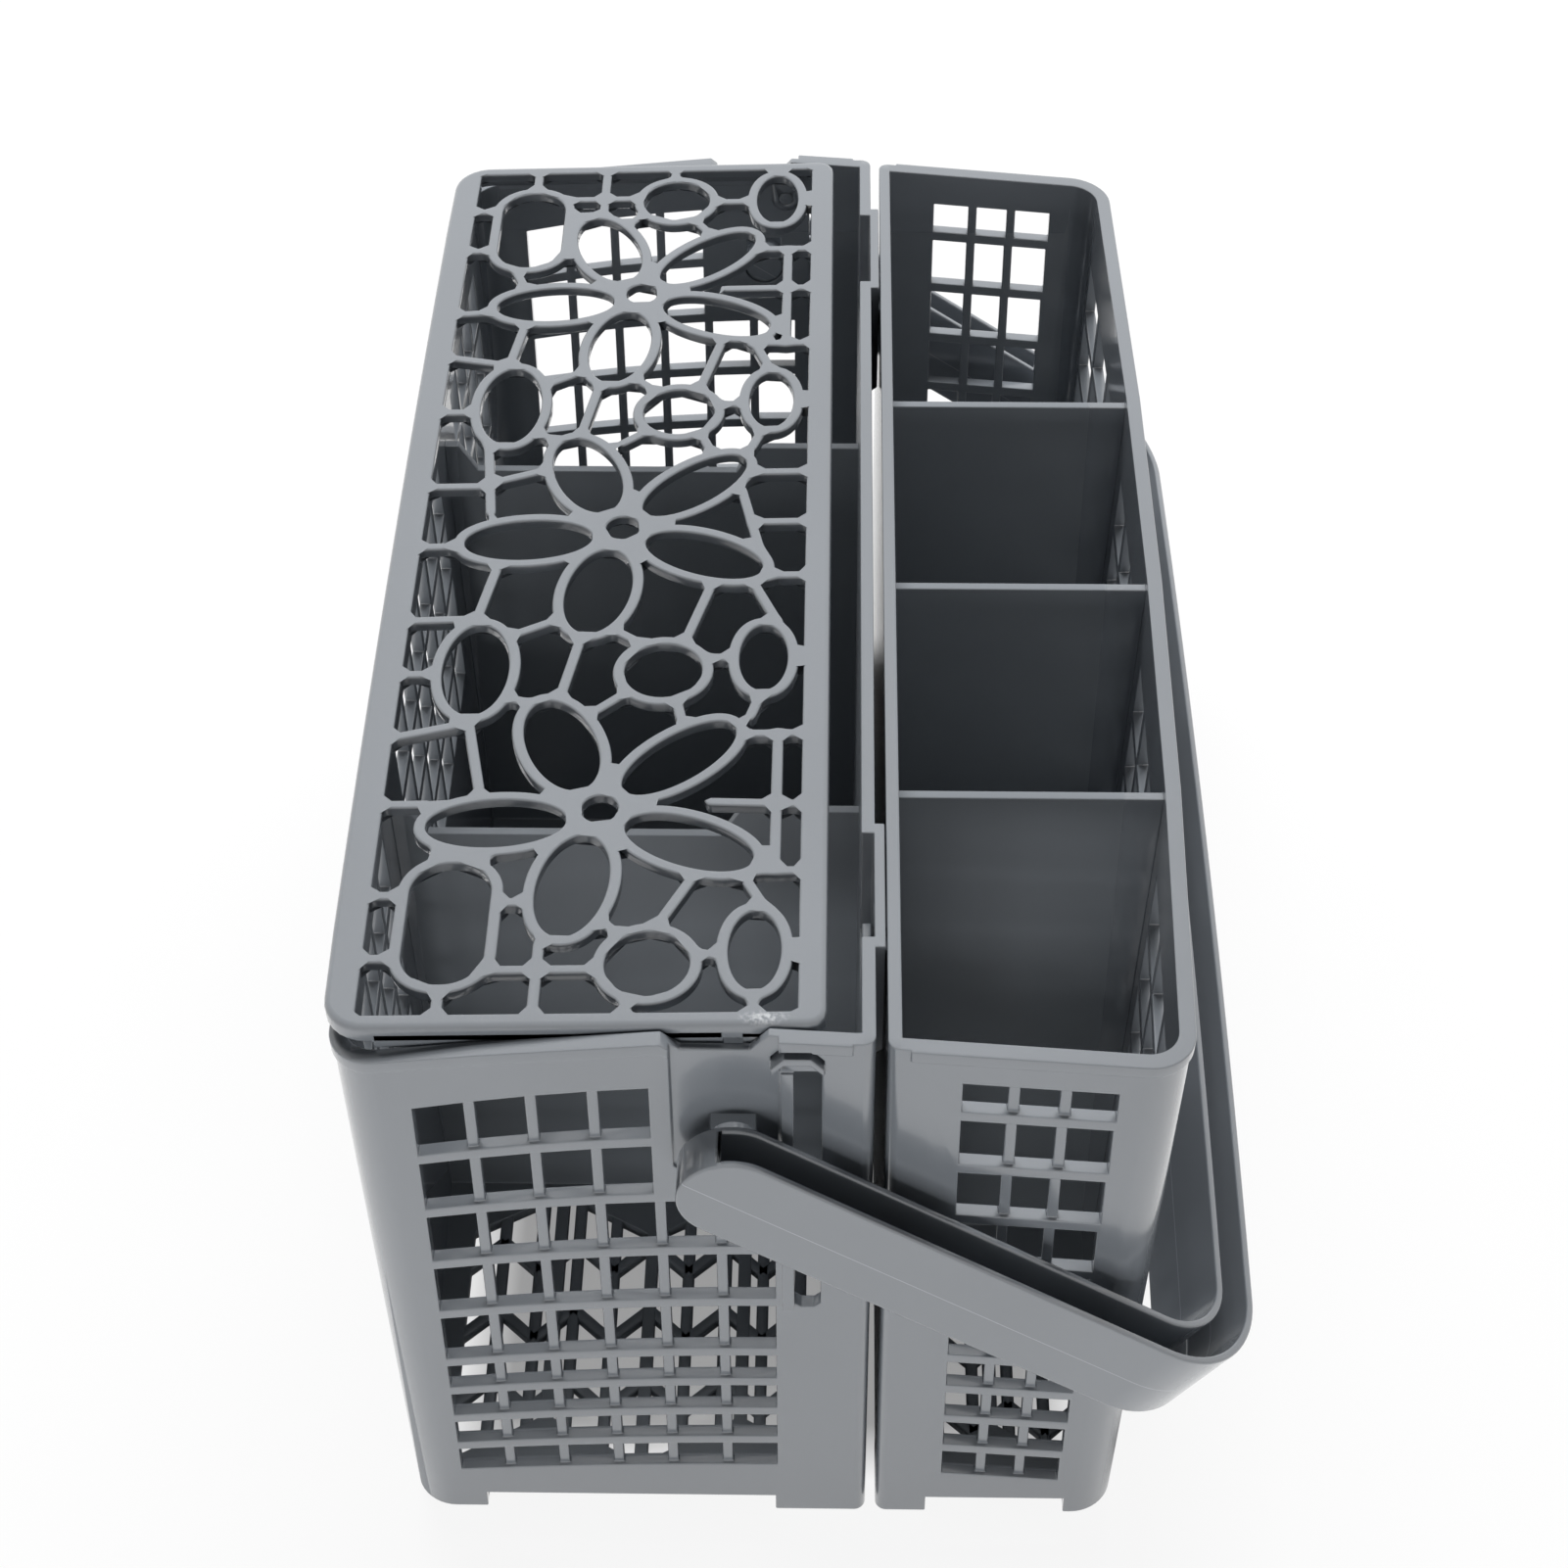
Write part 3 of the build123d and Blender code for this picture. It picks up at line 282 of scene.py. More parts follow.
def moulded_plastic(name, colour, roughness):
    """Grey moulded plastic: faint clouding of the colour, and a fine ripple in the gloss."""
    material = bpy.data.materials.new(name)
    material.use_nodes = True
    tree = material.node_tree
    shader = tree.nodes["Principled BSDF"]
    place = node(tree, "ShaderNodeTexCoord", name="place")

    clouds = node(tree, "ShaderNodeTexNoise")
    clouds.inputs["Scale"].default_value = CLOUD_SCALE
    clouds.inputs["Detail"].default_value = CLOUD_DETAIL
    tree.links.new(place.outputs["Object"], clouds.inputs["Vector"])
    tint = node(tree, "ShaderNodeValToRGB", name="tint")
    for stop, position, shade in zip(tint.color_ramp.elements, CLOUD_STOPS, CLOUD_TINTS):
        stop.position = position
        stop.color = (*(shade * value for value in colour), 1.0)
    tree.links.new(clouds.outputs["Fac"], tint.inputs["Fac"])
    tree.links.new(tint.outputs["Color"], shader.inputs["Base Color"])

    gloss = node(tree, "ShaderNodeMapRange", name="gloss")
    gloss.inputs["To Min"].default_value = roughness + CLOUD_GLOSS[0]
    gloss.inputs["To Max"].default_value = roughness + CLOUD_GLOSS[1]
    tree.links.new(clouds.outputs["Fac"], gloss.inputs["Value"])
    tree.links.new(gloss.outputs["Result"], shader.inputs["Roughness"])

    grain = node(tree, "ShaderNodeTexNoise")
    grain.inputs["Scale"].default_value = GRAIN_SCALE
    grain.inputs["Detail"].default_value = GRAIN_DETAIL
    tree.links.new(place.outputs["Object"], grain.inputs["Vector"])
    bump = node(tree, "ShaderNodeBump")
    bump.inputs["Strength"].default_value = GRAIN_STRENGTH
    bump.inputs["Distance"].default_value = GRAIN_HEIGHT * MM
    tree.links.new(grain.outputs["Fac"], bump.inputs["Height"])
    tree.links.new(bump.outputs["Normal"], shader.inputs["Normal"])
    shader.inputs["IOR"].default_value = PLASTIC_IOR
    shader.inputs["Specular IOR Level"].default_value = SPECULAR_LEVEL
    shader.inputs["Coat Weight"].default_value = COAT_WEIGHT
    shader.inputs["Coat Roughness"].default_value = COAT_ROUGHNESS
    return material


def matt_inside(material):
    """Makes the insides of both baskets, moulded on an unpolished core, duller than the outsides."""
    tree = material.node_tree
    shader = tree.nodes["Principled BSDF"]
    place = node(tree, "ShaderNodeSeparateXYZ")
    tree.links.new(tree.nodes["place"].outputs["Object"], place.inputs[0])
    boxes = [[TO_FRAME @ Vector((*corner, 0)) for corner in box] for box in INSIDES]
    across = [within(tree, place.outputs["X"], low.x, high.x) for low, high in boxes]
    low, high = boxes[0]
    along = within(tree, place.outputs["Y"], low.y, high.y)
    inside = maths(tree, "MULTIPLY", maths(tree, "MAXIMUM", *across), along)
    dull = maths(tree, "MULTIPLY", inside, INSIDE_ROUGHENING)
    rough = maths(tree, "ADD", tree.nodes["gloss"].outputs["Result"], dull)
    tree.links.new(rough, shader.inputs["Roughness"])
    coat = maths(tree, "MULTIPLY", maths(tree, "SUBTRACT", 1.0, inside), COAT_WEIGHT)
    tree.links.new(coat, shader.inputs["Coat Weight"])


def parting_line_painted_highlight(material):
    """Draws the real parting line along the middle of the handle's arms as a fine pale line, whose paleness
    is a painted highlight.
    """
    tree = material.node_tree
    height = node(tree, "ShaderNodeVectorMath", operation="DOT_PRODUCT")
    tree.links.new(tree.nodes["place"].outputs["Object"], height.inputs[0])
    across = Vector((sin(HANDLE_TILT), 0, cos(HANDLE_TILT)))
    height.inputs[1].default_value = across
    level = (TO_FRAME @ Vector((PIVOT_X, 0, PIVOT_Z))).dot(across) + PARTING_LINE * MM
    half = PARTING_LINE_WIDTH * MM / 2
    line = within(tree, height.outputs["Value"], level - half, level + half)
    # Painted highlight: the parting line is coloured paler than the plastic
    colour = mixed(tree, line, tree.nodes["tint"].outputs["Color"], PARTING_LINE_HIGHLIGHT_COLOUR)
    tree.links.new(colour, tree.nodes["Principled BSDF"].inputs["Base Color"])


def pale_scuff(material):
    """Speckles the front border of the lid with a pale scuff near the hinge."""
    tree = material.node_tree
    place = tree.nodes["place"].outputs["Object"]
    away = node(tree, "ShaderNodeVectorMath", operation="DISTANCE")
    stretched = node(tree, "ShaderNodeVectorMath", operation="MULTIPLY")
    stretch = Vector(1.0 / size for size in SCUFF_SIZE) / MM
    tree.links.new(place, stretched.inputs[0])
    stretched.inputs[1].default_value = stretch
    tree.links.new(stretched.outputs[0], away.inputs[0])
    away.inputs[1].default_value = (TO_FRAME @ Vector(SCUFF_PLACE)) * stretch
    speckles = node(tree, "ShaderNodeTexNoise")
    speckles.inputs["Scale"].default_value = SPECKLE_SCALE
    speckles.inputs["Detail"].default_value = SPECKLE_DETAIL
    tree.links.new(place, speckles.inputs["Vector"])
    fade = maths(tree, "SUBTRACT", 1.0, away.outputs["Value"])
    dots = maths(tree, "SUBTRACT", speckles.outputs["Fac"], SPECKLE_START)
    dots = maths(tree, "MAXIMUM", maths(tree, "MULTIPLY", dots, SPECKLE_CONTRAST), 0.0)
    share = maths(tree, "MULTIPLY", maths(tree, "MAXIMUM", fade, 0.0), dots)
    share = maths(tree, "MINIMUM", share, SCUFF_STRENGTH)
    colour = mixed(tree, share, tree.nodes["tint"].outputs["Color"], SCUFF_COLOUR)
    tree.links.new(colour, tree.nodes["Principled BSDF"].inputs["Base Color"])


basket_plastic = moulded_plastic("basket_plastic", PLASTIC_GREY, BASKET_ROUGHNESS)
lid_plastic = moulded_plastic("lid_plastic", PLASTIC_GREY, LID_ROUGHNESS)
handle_plastic = moulded_plastic("handle_plastic", PLASTIC_GREY, HANDLE_ROUGHNESS)
matt_inside(basket_plastic)
pale_scuff(lid_plastic)
parting_line_painted_highlight(handle_plastic)


# Mesh helpers

def mesh_object(name, mesh, material):
    """Object at the origin that shows a mesh in one material."""
    mesh.materials.clear()
    mesh.materials.append(material)
    obj = bpy.data.objects.new(name, mesh)
    bpy.context.scene.collection.objects.link(obj)
    return obj


def finished(work, name):
    """Mesh of a shape in the making, which is used up."""
    mesh = bpy.data.meshes.new(name)
    work.to_mesh(mesh)
    work.free()
    return mesh


def settle(obj):
    """Turns an object with modifiers into a plain mesh."""
    graph = bpy.context.evaluated_depsgraph_get()
    mesh = bpy.data.meshes.new_from_object(obj.evaluated_get(graph), depsgraph=graph)
    obj.modifiers.clear()
    obj.data = mesh
    return obj


def shade_flats(obj):
    """Shades a moulding smooth, with flats that look flat up to their rounded edges."""
    obj.data.polygons.foreach_set("use_smooth", [True] * len(obj.data.polygons))
    normals = obj.modifiers.new("flat faces", "WEIGHTED_NORMAL")
    normals.weight = FLAT_WEIGHT
    return settle(obj)


def round_edges(obj, radius):
    """Rounds the sharp edges of a moulding."""
    bevel = obj.modifiers.new("rounded edges", "BEVEL")
    bevel.width = radius * MM
    bevel.segments = EDGE_STEPS
    bevel.limit_method = "ANGLE"
    bevel.angle_limit = SHARP_ANGLE
    bevel.use_clamp_overlap = False
    bevel.loop_slide = False
    return shade_flats(obj)


def dress(obj, node_name):
    """Lets a finished piece stand for its CAD moulding."""
    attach(obj, node_name)
    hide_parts(node_name)


def moulded_copy(node_name, material):
    """Copy of a CAD moulding with its facets joined."""
    work = bmesh.new()
    work.from_mesh(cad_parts[node_name].data)
    bmesh.ops.remove_doubles(work, verts=work.verts, dist=WELD * MM)
    mesh = finished(work, f"{node_name}_moulding")
    for layer in ("custom_normal", "sharp_face", "sharp_edge"):
        if layer in mesh.attributes:
            mesh.attributes.remove(mesh.attributes[layer])
    return mesh_object(f"{node_name}_moulding", mesh, material)


# Baskets

for basket in ("main_basket", "side_basket"):
    dress(round_edges(moulded_copy(basket, basket_plastic), EDGE_RADIUS), basket)


# Floor bars

def chevron_floor_tree():
    """Geometry nodes for a compartment's floor: lengthwise bars, and slanted bars that meet in V shapes."""
    tree = bpy.data.node_groups.new("chevron_floor", "GeometryNodeTree")
    face = tree.interface
    face.new_socket("Geometry", in_out="OUTPUT", socket_type="NodeSocketGeometry")
    kinds = {
        "Centre": "NodeSocketVector",
        "Columns": "NodeSocketInt",
        "Rows": "NodeSocketInt",
        "Column pitch": "NodeSocketFloat",
        "Row pitch": "NodeSocketFloat",
        "Run": "NodeSocketFloat",
        "Lean": "NodeSocketFloat",
        "Bar width": "NodeSocketFloat",
        "Bar height": "NodeSocketFloat",
        "Rounding": "NodeSocketFloat",
        "Material": "NodeSocketMaterial",
    }
    ids = {}
    for name, kind in kinds.items():
        ids[name] = face.new_socket(name, in_out="INPUT", socket_type=kind).identifier
    given = node(tree, "NodeGroupInput").outputs
    link = tree.links.new

    def count(operation, *values):
        """Output of a maths node in this tree."""
        return maths(tree, operation, *values)

    def vector(x, y, z):
        """Output of a vector node in this tree."""
        made = node(tree, "ShaderNodeCombineXYZ")
        for socket, value in zip(made.inputs, (x, y, z)):
            if isinstance(value, (int, float)):
                socket.default_value = value
            else:
                link(value, socket)
        return made.outputs[0]

    def bar_line(end):
        """Straight curve about the origin, from minus end to end."""
        start = node(tree, "ShaderNodeVectorMath", operation="SCALE")
        link(end, start.inputs[0])
        start.inputs["Scale"].default_value = -1.0
        line = node(tree, "GeometryNodeCurvePrimitiveLine")
        link(start.outputs[0], line.inputs["Start"])
        link(end, line.inputs["End"])
        return line.outputs["Curve"]

    index = node(tree, "GeometryNodeInputIndex").outputs[0]
    slanted = node(tree, "GeometryNodeMeshGrid")
    width = count("MULTIPLY", count("SUBTRACT", given["Columns"], 1), given["Column pitch"])
    depth = count("MULTIPLY", count("SUBTRACT", given["Rows"], 1), given["Row pitch"])
    link(width, slanted.inputs["Size X"])
    link(depth, slanted.inputs["Size Y"])
    link(given["Columns"], slanted.inputs["Vertices X"])
    link(given["Rows"], slanted.inputs["Vertices Y"])
    column = count("FLOOR", count("DIVIDE", index, given["Rows"]))
    side = count("SUBTRACT", 1, count("MULTIPLY", count("MODULO", column, 2), 2))
    turn = vector(0, 0, count("MULTIPLY", side, given["Lean"]))
    cross = node(tree, "GeometryNodeInstanceOnPoints")
    link(slanted.outputs["Mesh"], cross.inputs["Points"])
    half_pitch = count("MULTIPLY", given["Column pitch"], 0.5)
    half_bar = count("DIVIDE", half_pitch, count("COSINE", given["Lean"]))
    link(bar_line(vector(half_bar, 0, 0)), cross.inputs["Instance"])
    link(turn, cross.inputs["Rotation"])

    lengthwise = node(tree, "GeometryNodeMeshGrid")
    link(count("MULTIPLY", given["Columns"], given["Column pitch"]), lengthwise.inputs["Size X"])
    lengthwise.inputs["Size Y"].default_value = 0.0
    link(count("ADD", given["Columns"], 1), lengthwise.inputs["Vertices X"])
    lengthwise.inputs["Vertices Y"].default_value = 2
    bars = node(tree, "GeometryNodeInstanceOnPoints")
    link(lengthwise.outputs["Mesh"], bars.inputs["Points"])
    link(count("LESS_THAN", count("MODULO", index, 2), 0.5), bars.inputs["Selection"])
    link(bar_line(vector(0, count("MULTIPLY", given["Run"], 0.5), 0)), bars.inputs["Instance"])

    lines = node(tree, "GeometryNodeJoinGeometry")
    link(cross.outputs["Instances"], lines.inputs[0])
    link(bars.outputs["Instances"], lines.inputs[0])
    real = node(tree, "GeometryNodeRealizeInstances")
    link(lines.outputs[0], real.inputs[0])
    upright = node(tree, "GeometryNodeSetCurveNormal", mode="Z_UP")
    link(real.outputs[0], upright.inputs["Curve"])
    profile = node(tree, "GeometryNodeCurvePrimitiveQuadrilateral")
    link(given["Bar width"], profile.inputs["Width"])
    link(given["Bar height"], profile.inputs["Height"])
    rounded = node(tree, "GeometryNodeFilletCurve", mode="POLY")
    rounded.inputs["Count"].default_value = EDGE_STEPS
    link(given["Rounding"], rounded.inputs["Radius"])
    link(profile.outputs["Curve"], rounded.inputs["Curve"])
    sweep = node(tree, "GeometryNodeCurveToMesh")
    sweep.inputs["Fill Caps"].default_value = True
    link(upright.outputs[0], sweep.inputs["Curve"])
    link(rounded.outputs[0], sweep.inputs["Profile Curve"])
    moved = node(tree, "GeometryNodeTransform")
    link(sweep.outputs[0], moved.inputs["Geometry"])
    link(given["Centre"], moved.inputs["Translation"])
    painted = node(tree, "GeometryNodeSetMaterial")
    link(moved.outputs[0], painted.inputs["Geometry"])
    link(given["Material"], painted.inputs["Material"])
    link(painted.outputs[0], node(tree, "NodeGroupOutput").inputs[0])
    return tree, ids


floor_tree, floor_ids = chevron_floor_tree()


def chevron_floor(name, body, left, right, columns, walls):
    """Floor bars of all compartments of one basket, as one piece."""
    joined = bmesh.new()
    pitch = (right - left) / columns
    for front, back in zip(walls, walls[1:]):
        run = back - front - 2 * FLOOR_MARGIN
        level = FLOOR_TOP - FLOOR_BAR_HEIGHT / 2
        centre = Vector(((left + right) / 2, (front + back) / 2, level))
        obj = mesh_object(name, bpy.data.meshes.new(name), basket_plastic)
        modifier = obj.modifiers.new("chevron floor", "NODES")
        modifier.node_group = floor_tree
        values = {
            "Centre": TO_FRAME @ centre,
            "Columns": columns,
            "Rows": int(run / FLOOR_ROW_PITCH),
            "Column pitch": pitch * MM,
            "Row pitch": FLOOR_ROW_PITCH * MM,
            "Run": run * MM,
            "Lean": FLOOR_LEAN,
            "Bar width": FLOOR_BAR_WIDTH * MM,
            "Bar height": FLOOR_BAR_HEIGHT * MM,
            "Rounding": FLOOR_BAR_ROUNDING * MM,
            "Material": basket_plastic,
        }
        for label, value in values.items():
            modifier[floor_ids[label]] = value
        settle(obj)
        joined.from_mesh(obj.data)
        bpy.data.objects.remove(obj)
    piece = mesh_object(name, finished(joined, name), basket_plastic)
    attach(piece, body)


chevron_floor("main_floor_bars", "main_basket", **MAIN_FLOOR)
chevron_floor("side_floor_bars", "side_basket", **SIDE_FLOOR)


# Lid

def lid_bow_at(y):
    """How far the lid's outer long edge stands out at y."""
    return LID_BOW * (1 - ((y - MIDDLE_Y) / MIDDLE_Y) ** 2)


def oval_distance(x, y, centre, half, turn=0.0):
    """Distance from an oval outline, negative inside it, close to exact near the outline."""
    angle = radians(turn)
    along = (x - centre[0]) * cos(angle) + (y - centre[1]) * sin(angle)
    aside = (y - centre[1]) * cos(angle) - (x - centre[0]) * sin(angle)
    scaled = np.hypot(along / half[0], aside / half[1])
    slope = np.hypot(along / half[0] ** 2, aside / half[1] ** 2)
    return scaled * (scaled - 1) / np.maximum(slope, TINY_SLOPE)


def frame_distance(x, y, centre, half):
    """Distance from a rounded frame's outline, negative inside it."""
    across = np.abs(x - centre[0]) - half[0] + FRAME_CORNER
    along = np.abs(y - centre[1]) - half[1] + FRAME_CORNER
    outside = np.hypot(np.maximum(across, 0), np.maximum(along, 0))
    return outside + np.minimum(np.maximum(across, along), 0) - FRAME_CORNER


def link_distance(x, y, start, end):
    """Distance from the outline of a straight link with round ends."""
    run = np.subtract(end, start)
    share = ((x - start[0]) * run[0] + (y - start[1]) * run[1]) / np.dot(run, run)
    share = np.clip(share, 0, 1)
    return np.hypot(x - start[0] - share * run[0], y - start[1] - share * run[1]) - BAR_WIDTH / 2


def soft_minimum(first, second, reach):
    """Smaller of two distances, with a fillet where they are close."""
    blend = np.maximum(reach - np.abs(first - second), 0) / reach
    return np.minimum(first, second) - blend**2 * reach / 4


def lid_field(x, y):
    """Distance from the lid's openings over its plan: negative in the plastic."""
    left = LID_RIGHT - LID_WIDTH + LID_BORDER_LEFT - lid_bow_at(y)
    right = LID_RIGHT - LID_BORDER_RIGHT
    front = LID_END + LID_BORDER_END
    sides = [x - left, right - x, y - front, LENGTH - front - y]
    plastic = sides[0]
    for side in sides[1:]:
        plastic = soft_minimum(plastic, side, OPENING_CORNER)
    holes = []
    for eye in EYES:
        holes.append(oval_distance(x, y, eye, (EYE_RADIUS, EYE_RADIUS)))
        for offset, half, turn in PETALS:
            holes.append(oval_distance(x, y, np.add(eye, offset), half, turn))
    holes += [oval_distance(x, y, centre, (CIRCLE_RADIUS, CIRCLE_RADIUS)) for centre in CIRCLES]
    holes += [oval_distance(x, y, centre, RIGHT_OVAL) for centre in RIGHT_OVALS]
    holes += [oval_distance(x, y, centre, LEFT_OVAL) for centre in LEFT_OVALS]
    holes += [frame_distance(x, y, centre, half) for centre, half in FRAMES]
    for eye in EYES:
        plastic = soft_minimum(plastic, oval_distance(x, y, eye, (HUB_RADIUS, HUB_RADIUS)), JOIN_FILLET)
    for hole in holes:
        plastic = soft_minimum(plastic, hole - RING_WIDTH, JOIN_FILLET)
    for start, end in LINKS:
        plastic = soft_minimum(plastic, link_distance(x, y, start, end), JOIN_FILLET)
    for hole in holes:
        plastic = np.maximum(plastic, -hole)
    return plastic


def outlines(field, xs, ys, level):
    """Closed outlines where a field crosses a level, with the lower side on the left."""
    inside = field < level
    count = len(xs)
    upright = field.size
    corners = inside[:-1, :-1], inside[:-1, 1:], inside[1:, 1:], inside[1:, :-1]
    alike = (corners[0] == corners[1]) & (corners[1] == corners[2]) & (corners[2] == corners[3])
    follows = {}
    for row, col in np.argwhere(~alike):
        base = int(row) * count + int(col)
        edges = (base, upright + base + 1, base + count, upright + base)
        state = [bool(corner[row, col]) for corner in corners]
        leaving = [i for i in range(4) if state[i] and not state[(i + 1) % 4]]
        for i in leaving:
            others = [(i + step) % 4 for step in (3, 2, 1)]
            j = next(k for k in others if not state[k] and state[(k + 1) % 4])
            follows[edges[i]] = edges[j]

    def place(edge):
        """Point where the field crosses the level on one edge of the grid."""
        row, col = divmod(edge % upright, count)
        next_row, next_col = (row + 1, col) if edge >= upright else (row, col + 1)
        low, high = field[row, col], field[next_row, next_col]
        share = (level - low) / (high - low)
        return xs[col] + share * (xs[next_col] - xs[col]), ys[row] + share * (ys[next_row] - ys[row])

    loops = []
    while follows:
        start, edge = follows.popitem()
        loop = [start]
        while edge != start:
            loop.append(edge)
            edge = follows.pop(edge)
        loops.append(np.array([place(edge) for edge in loop]))
    return loops


def evenly(points, step):
    """Closed outline with points at even distances."""
    closed = np.vstack([points, points[:1]])
    way = np.concatenate([[0], np.cumsum(np.hypot(*np.diff(closed, axis=0).T))])
    stops = np.linspace(0, way[-1], max(FEWEST_POINTS, int(way[-1] / step)), endpoint=False)
    return np.column_stack([np.interp(stops, way, closed[:, 0]), np.interp(stops, way, closed[:, 1])])


def side_normals(points):
    """Unit normals on the right of a closed outline, away from the plastic."""
    run = np.roll(points, -1, axis=0) - np.roll(points, 1, axis=0)
    normals = np.column_stack([run[:, 1], -run[:, 0]])
    return normals / np.linalg.norm(normals, axis=1)[:, None]


def lid_outline():
    """Outer outline of the lid, counter-clockwise, with its rounded corners and bowed left edge."""
    left, right = LID_RIGHT - LID_WIDTH, LID_RIGHT
    front, back = LID_END, LENGTH - LID_END
    points = []
    corners = [
        (left, front, LID_OUTER_RADIUS, 1, 1, 180),
        (right, front, LID_INNER_RADIUS, -1, 1, 270),
        (right, back, LID_INNER_RADIUS, -1, -1, 0),
        (left, back, LID_OUTER_RADIUS, 1, -1, 90),
    ]
    for x, y, radius, inward_x, inward_y, start in corners:
        middle_x, middle_y = x + inward_x * radius, y + inward_y * radius
        for i in range(CORNER_STEPS + 1):
            angle = radians(start + 90 * i / CORNER_STEPS)
            points.append((middle_x + radius * cos(angle), middle_y + radius * sin(angle)))
    for i in range(1, BOW_STEPS):
        y = back - LID_OUTER_RADIUS - (back - front - 2 * LID_OUTER_RADIUS) * i / BOW_STEPS
        points.append((left - lid_bow_at(y), y))
    return evenly(np.array(points), 2 * OUTLINE_STEP)


def quarter(radius, steps):
    """Outward distance and fall of a rounded edge, from level to upright."""
    turns = [pi / 2 * i / steps for i in range(steps + 1)]
    return [(radius * sin(turn), radius * (cos(turn) - 1)) for turn in turns]


def lid_plate():
    """Openwork plate of the lid, flat, with rounded edges and a deeper rim."""
    xs = np.arange(LID_RIGHT - LID_WIDTH, LID_RIGHT, GRID_STEP)
    ys = np.arange(LID_END, LENGTH - LID_END, GRID_STEP)
    grid_x, grid_y = np.meshgrid(xs, ys)
    field = lid_field(grid_x, grid_y)
    openings = [evenly(loop, OUTLINE_STEP) for loop in outlines(field, xs, ys, -LATTICE_ROUNDING)]

    low = LATTICE_UNDERSIDE_ROUNDING
    wall = [(out - LATTICE_ROUNDING, z) for out, z in quarter(LATTICE_ROUNDING, LATTICE_STEPS)]
    wall += [(-low + out, -LATTICE_HEIGHT - z) for out, z in reversed(quarter(low, LATTICE_UNDERSIDE_STEPS))]
    rim = [(out - BORDER_ROUNDING, z) for out, z in quarter(BORDER_ROUNDING, BORDER_STEPS)]
    rim += [(-low + out, -BORDER_HEIGHT - z) for out, z in reversed(quarter(low, RIM_STEPS))]
    rim += [(-RIM_WIDTH, -BORDER_HEIGHT), (-RIM_WIDTH, -LATTICE_HEIGHT)]
    outer = lid_outline()
    loops = [(outer, side_normals(outer), rim)]
    for loop in openings:
        normals = side_normals(loop)
        loops.append((loop + normals * LATTICE_ROUNDING, normals, wall))

    vertices, faces, top, bottom, constraints = [], [], [], [], []
    for points, normals, profile in loops:
        size = len(points)
        start = len(vertices)
        for out, z in profile:
            vertices += [(*place, z) for place in points + normals * out]
        for row in range(len(profile) - 1):
            for i in range(size):
                low_row, high_row = start + row * size, start + (row + 1) * size
                j = (i + 1) % size
                faces.append((low_row + i, high_row + i, high_row + j, low_row + j))
        first = len(top)
        constraints += [(first + i, first + (i + 1) % size) for i in range(size)]
        top += range(start, start + size)
        bottom += range(start + (len(profile) - 1) * size, start + len(profile) * size)

    flat = [Vector(vertices[i][:2]) for i in top]
    rim_loop = list(range(len(outer)))
    filled = delaunay_2d_cdt(flat, constraints, [rim_loop], 1, MESHING_TOLERANCE)
    cells, sources = filled[2:4]
    used = [source[0] for source in sources]
    middles = np.array([np.mean([flat[used[i]] for i in cell], axis=0) for cell in cells])
    solid = lid_field(middles[:, 0], middles[:, 1]) < 0
    for cell, keep in zip(cells, solid):
        if keep:
            corners = [used[i] for i in cell]
            faces.append([top[i] for i in corners])
            faces.append([bottom[i] for i in reversed(corners)])
    mesh = bpy.data.meshes.new("lid_plate")
    mesh.from_pydata(vertices, [], faces)
    return mesh


def rounded_block(work, low, high, radius):
    """Block with rounded edges added to a mesh in the making."""
    made = bmesh.ops.create_cube(work, size=1.0)["verts"]
    size = np.subtract(high, low)
    middle = np.add(high, low) / 2
    for vert in made:
        vert.co = Vector(vert.co[i] * size[i] + middle[i] for i in range(3))
    edges = {edge for vert in made for edge in vert.link_edges}
    shape = {"segments": EDGE_STEPS, "affect": "EDGES", "profile": ROUND_PROFILE}
    bmesh.ops.bevel(work, geom=list(edges), offset=radius, **shape)


def hinge_ears():
    """Two ears with pin holes below the lid's end borders."""
    ears = bmesh.new()
    half = HINGE_EAR_RADIUS
    for front in (LID_END, LENGTH - LID_END - HINGE_EAR_THICKNESS):
        rings = []
        for y in (front, front + HINGE_EAR_THICKNESS):
            hole, outer = [], []
            for i in range(HINGE_STEPS):
                angle = 2 * pi * i / HINGE_STEPS
                x, z = HINGE_HOLE_RADIUS * cos(angle), HINGE_HOLE_RADIUS * sin(angle)
                hole.append(ears.verts.new((HINGE_X + x, y, HINGE_Z + z)))
                x, z = half * cos(angle), half * sin(angle)
                if z > 0:
                    x = half if x > EAR_MIDDLE else -half if x < -EAR_MIDDLE else 0
                    z = EAR_TOP - HINGE_Z
                outer.append(ears.verts.new((HINGE_X + x, y, HINGE_Z + z)))
            rings.append((hole, outer))
        (front_hole, front_outer), (back_hole, back_outer) = rings
        for i in range(HINGE_STEPS):
            j = (i + 1) % HINGE_STEPS
            for quad in (
                (front_hole[i], front_hole[j], front_outer[j], front_outer[i]),
                (back_hole[j], back_hole[i], back_outer[i], back_outer[j]),
                (front_outer[i], front_outer[j], back_outer[j], back_outer[i]),
                (front_hole[j], front_hole[i], back_hole[i], back_hole[j]),
            ):
                ears.faces.new(quad)
    bmesh.ops.remove_doubles(ears, verts=ears.verts, dist=WELD)
    bmesh.ops.recalc_face_normals(ears, faces=ears.faces)
    return finished(ears, "hinge_ears")


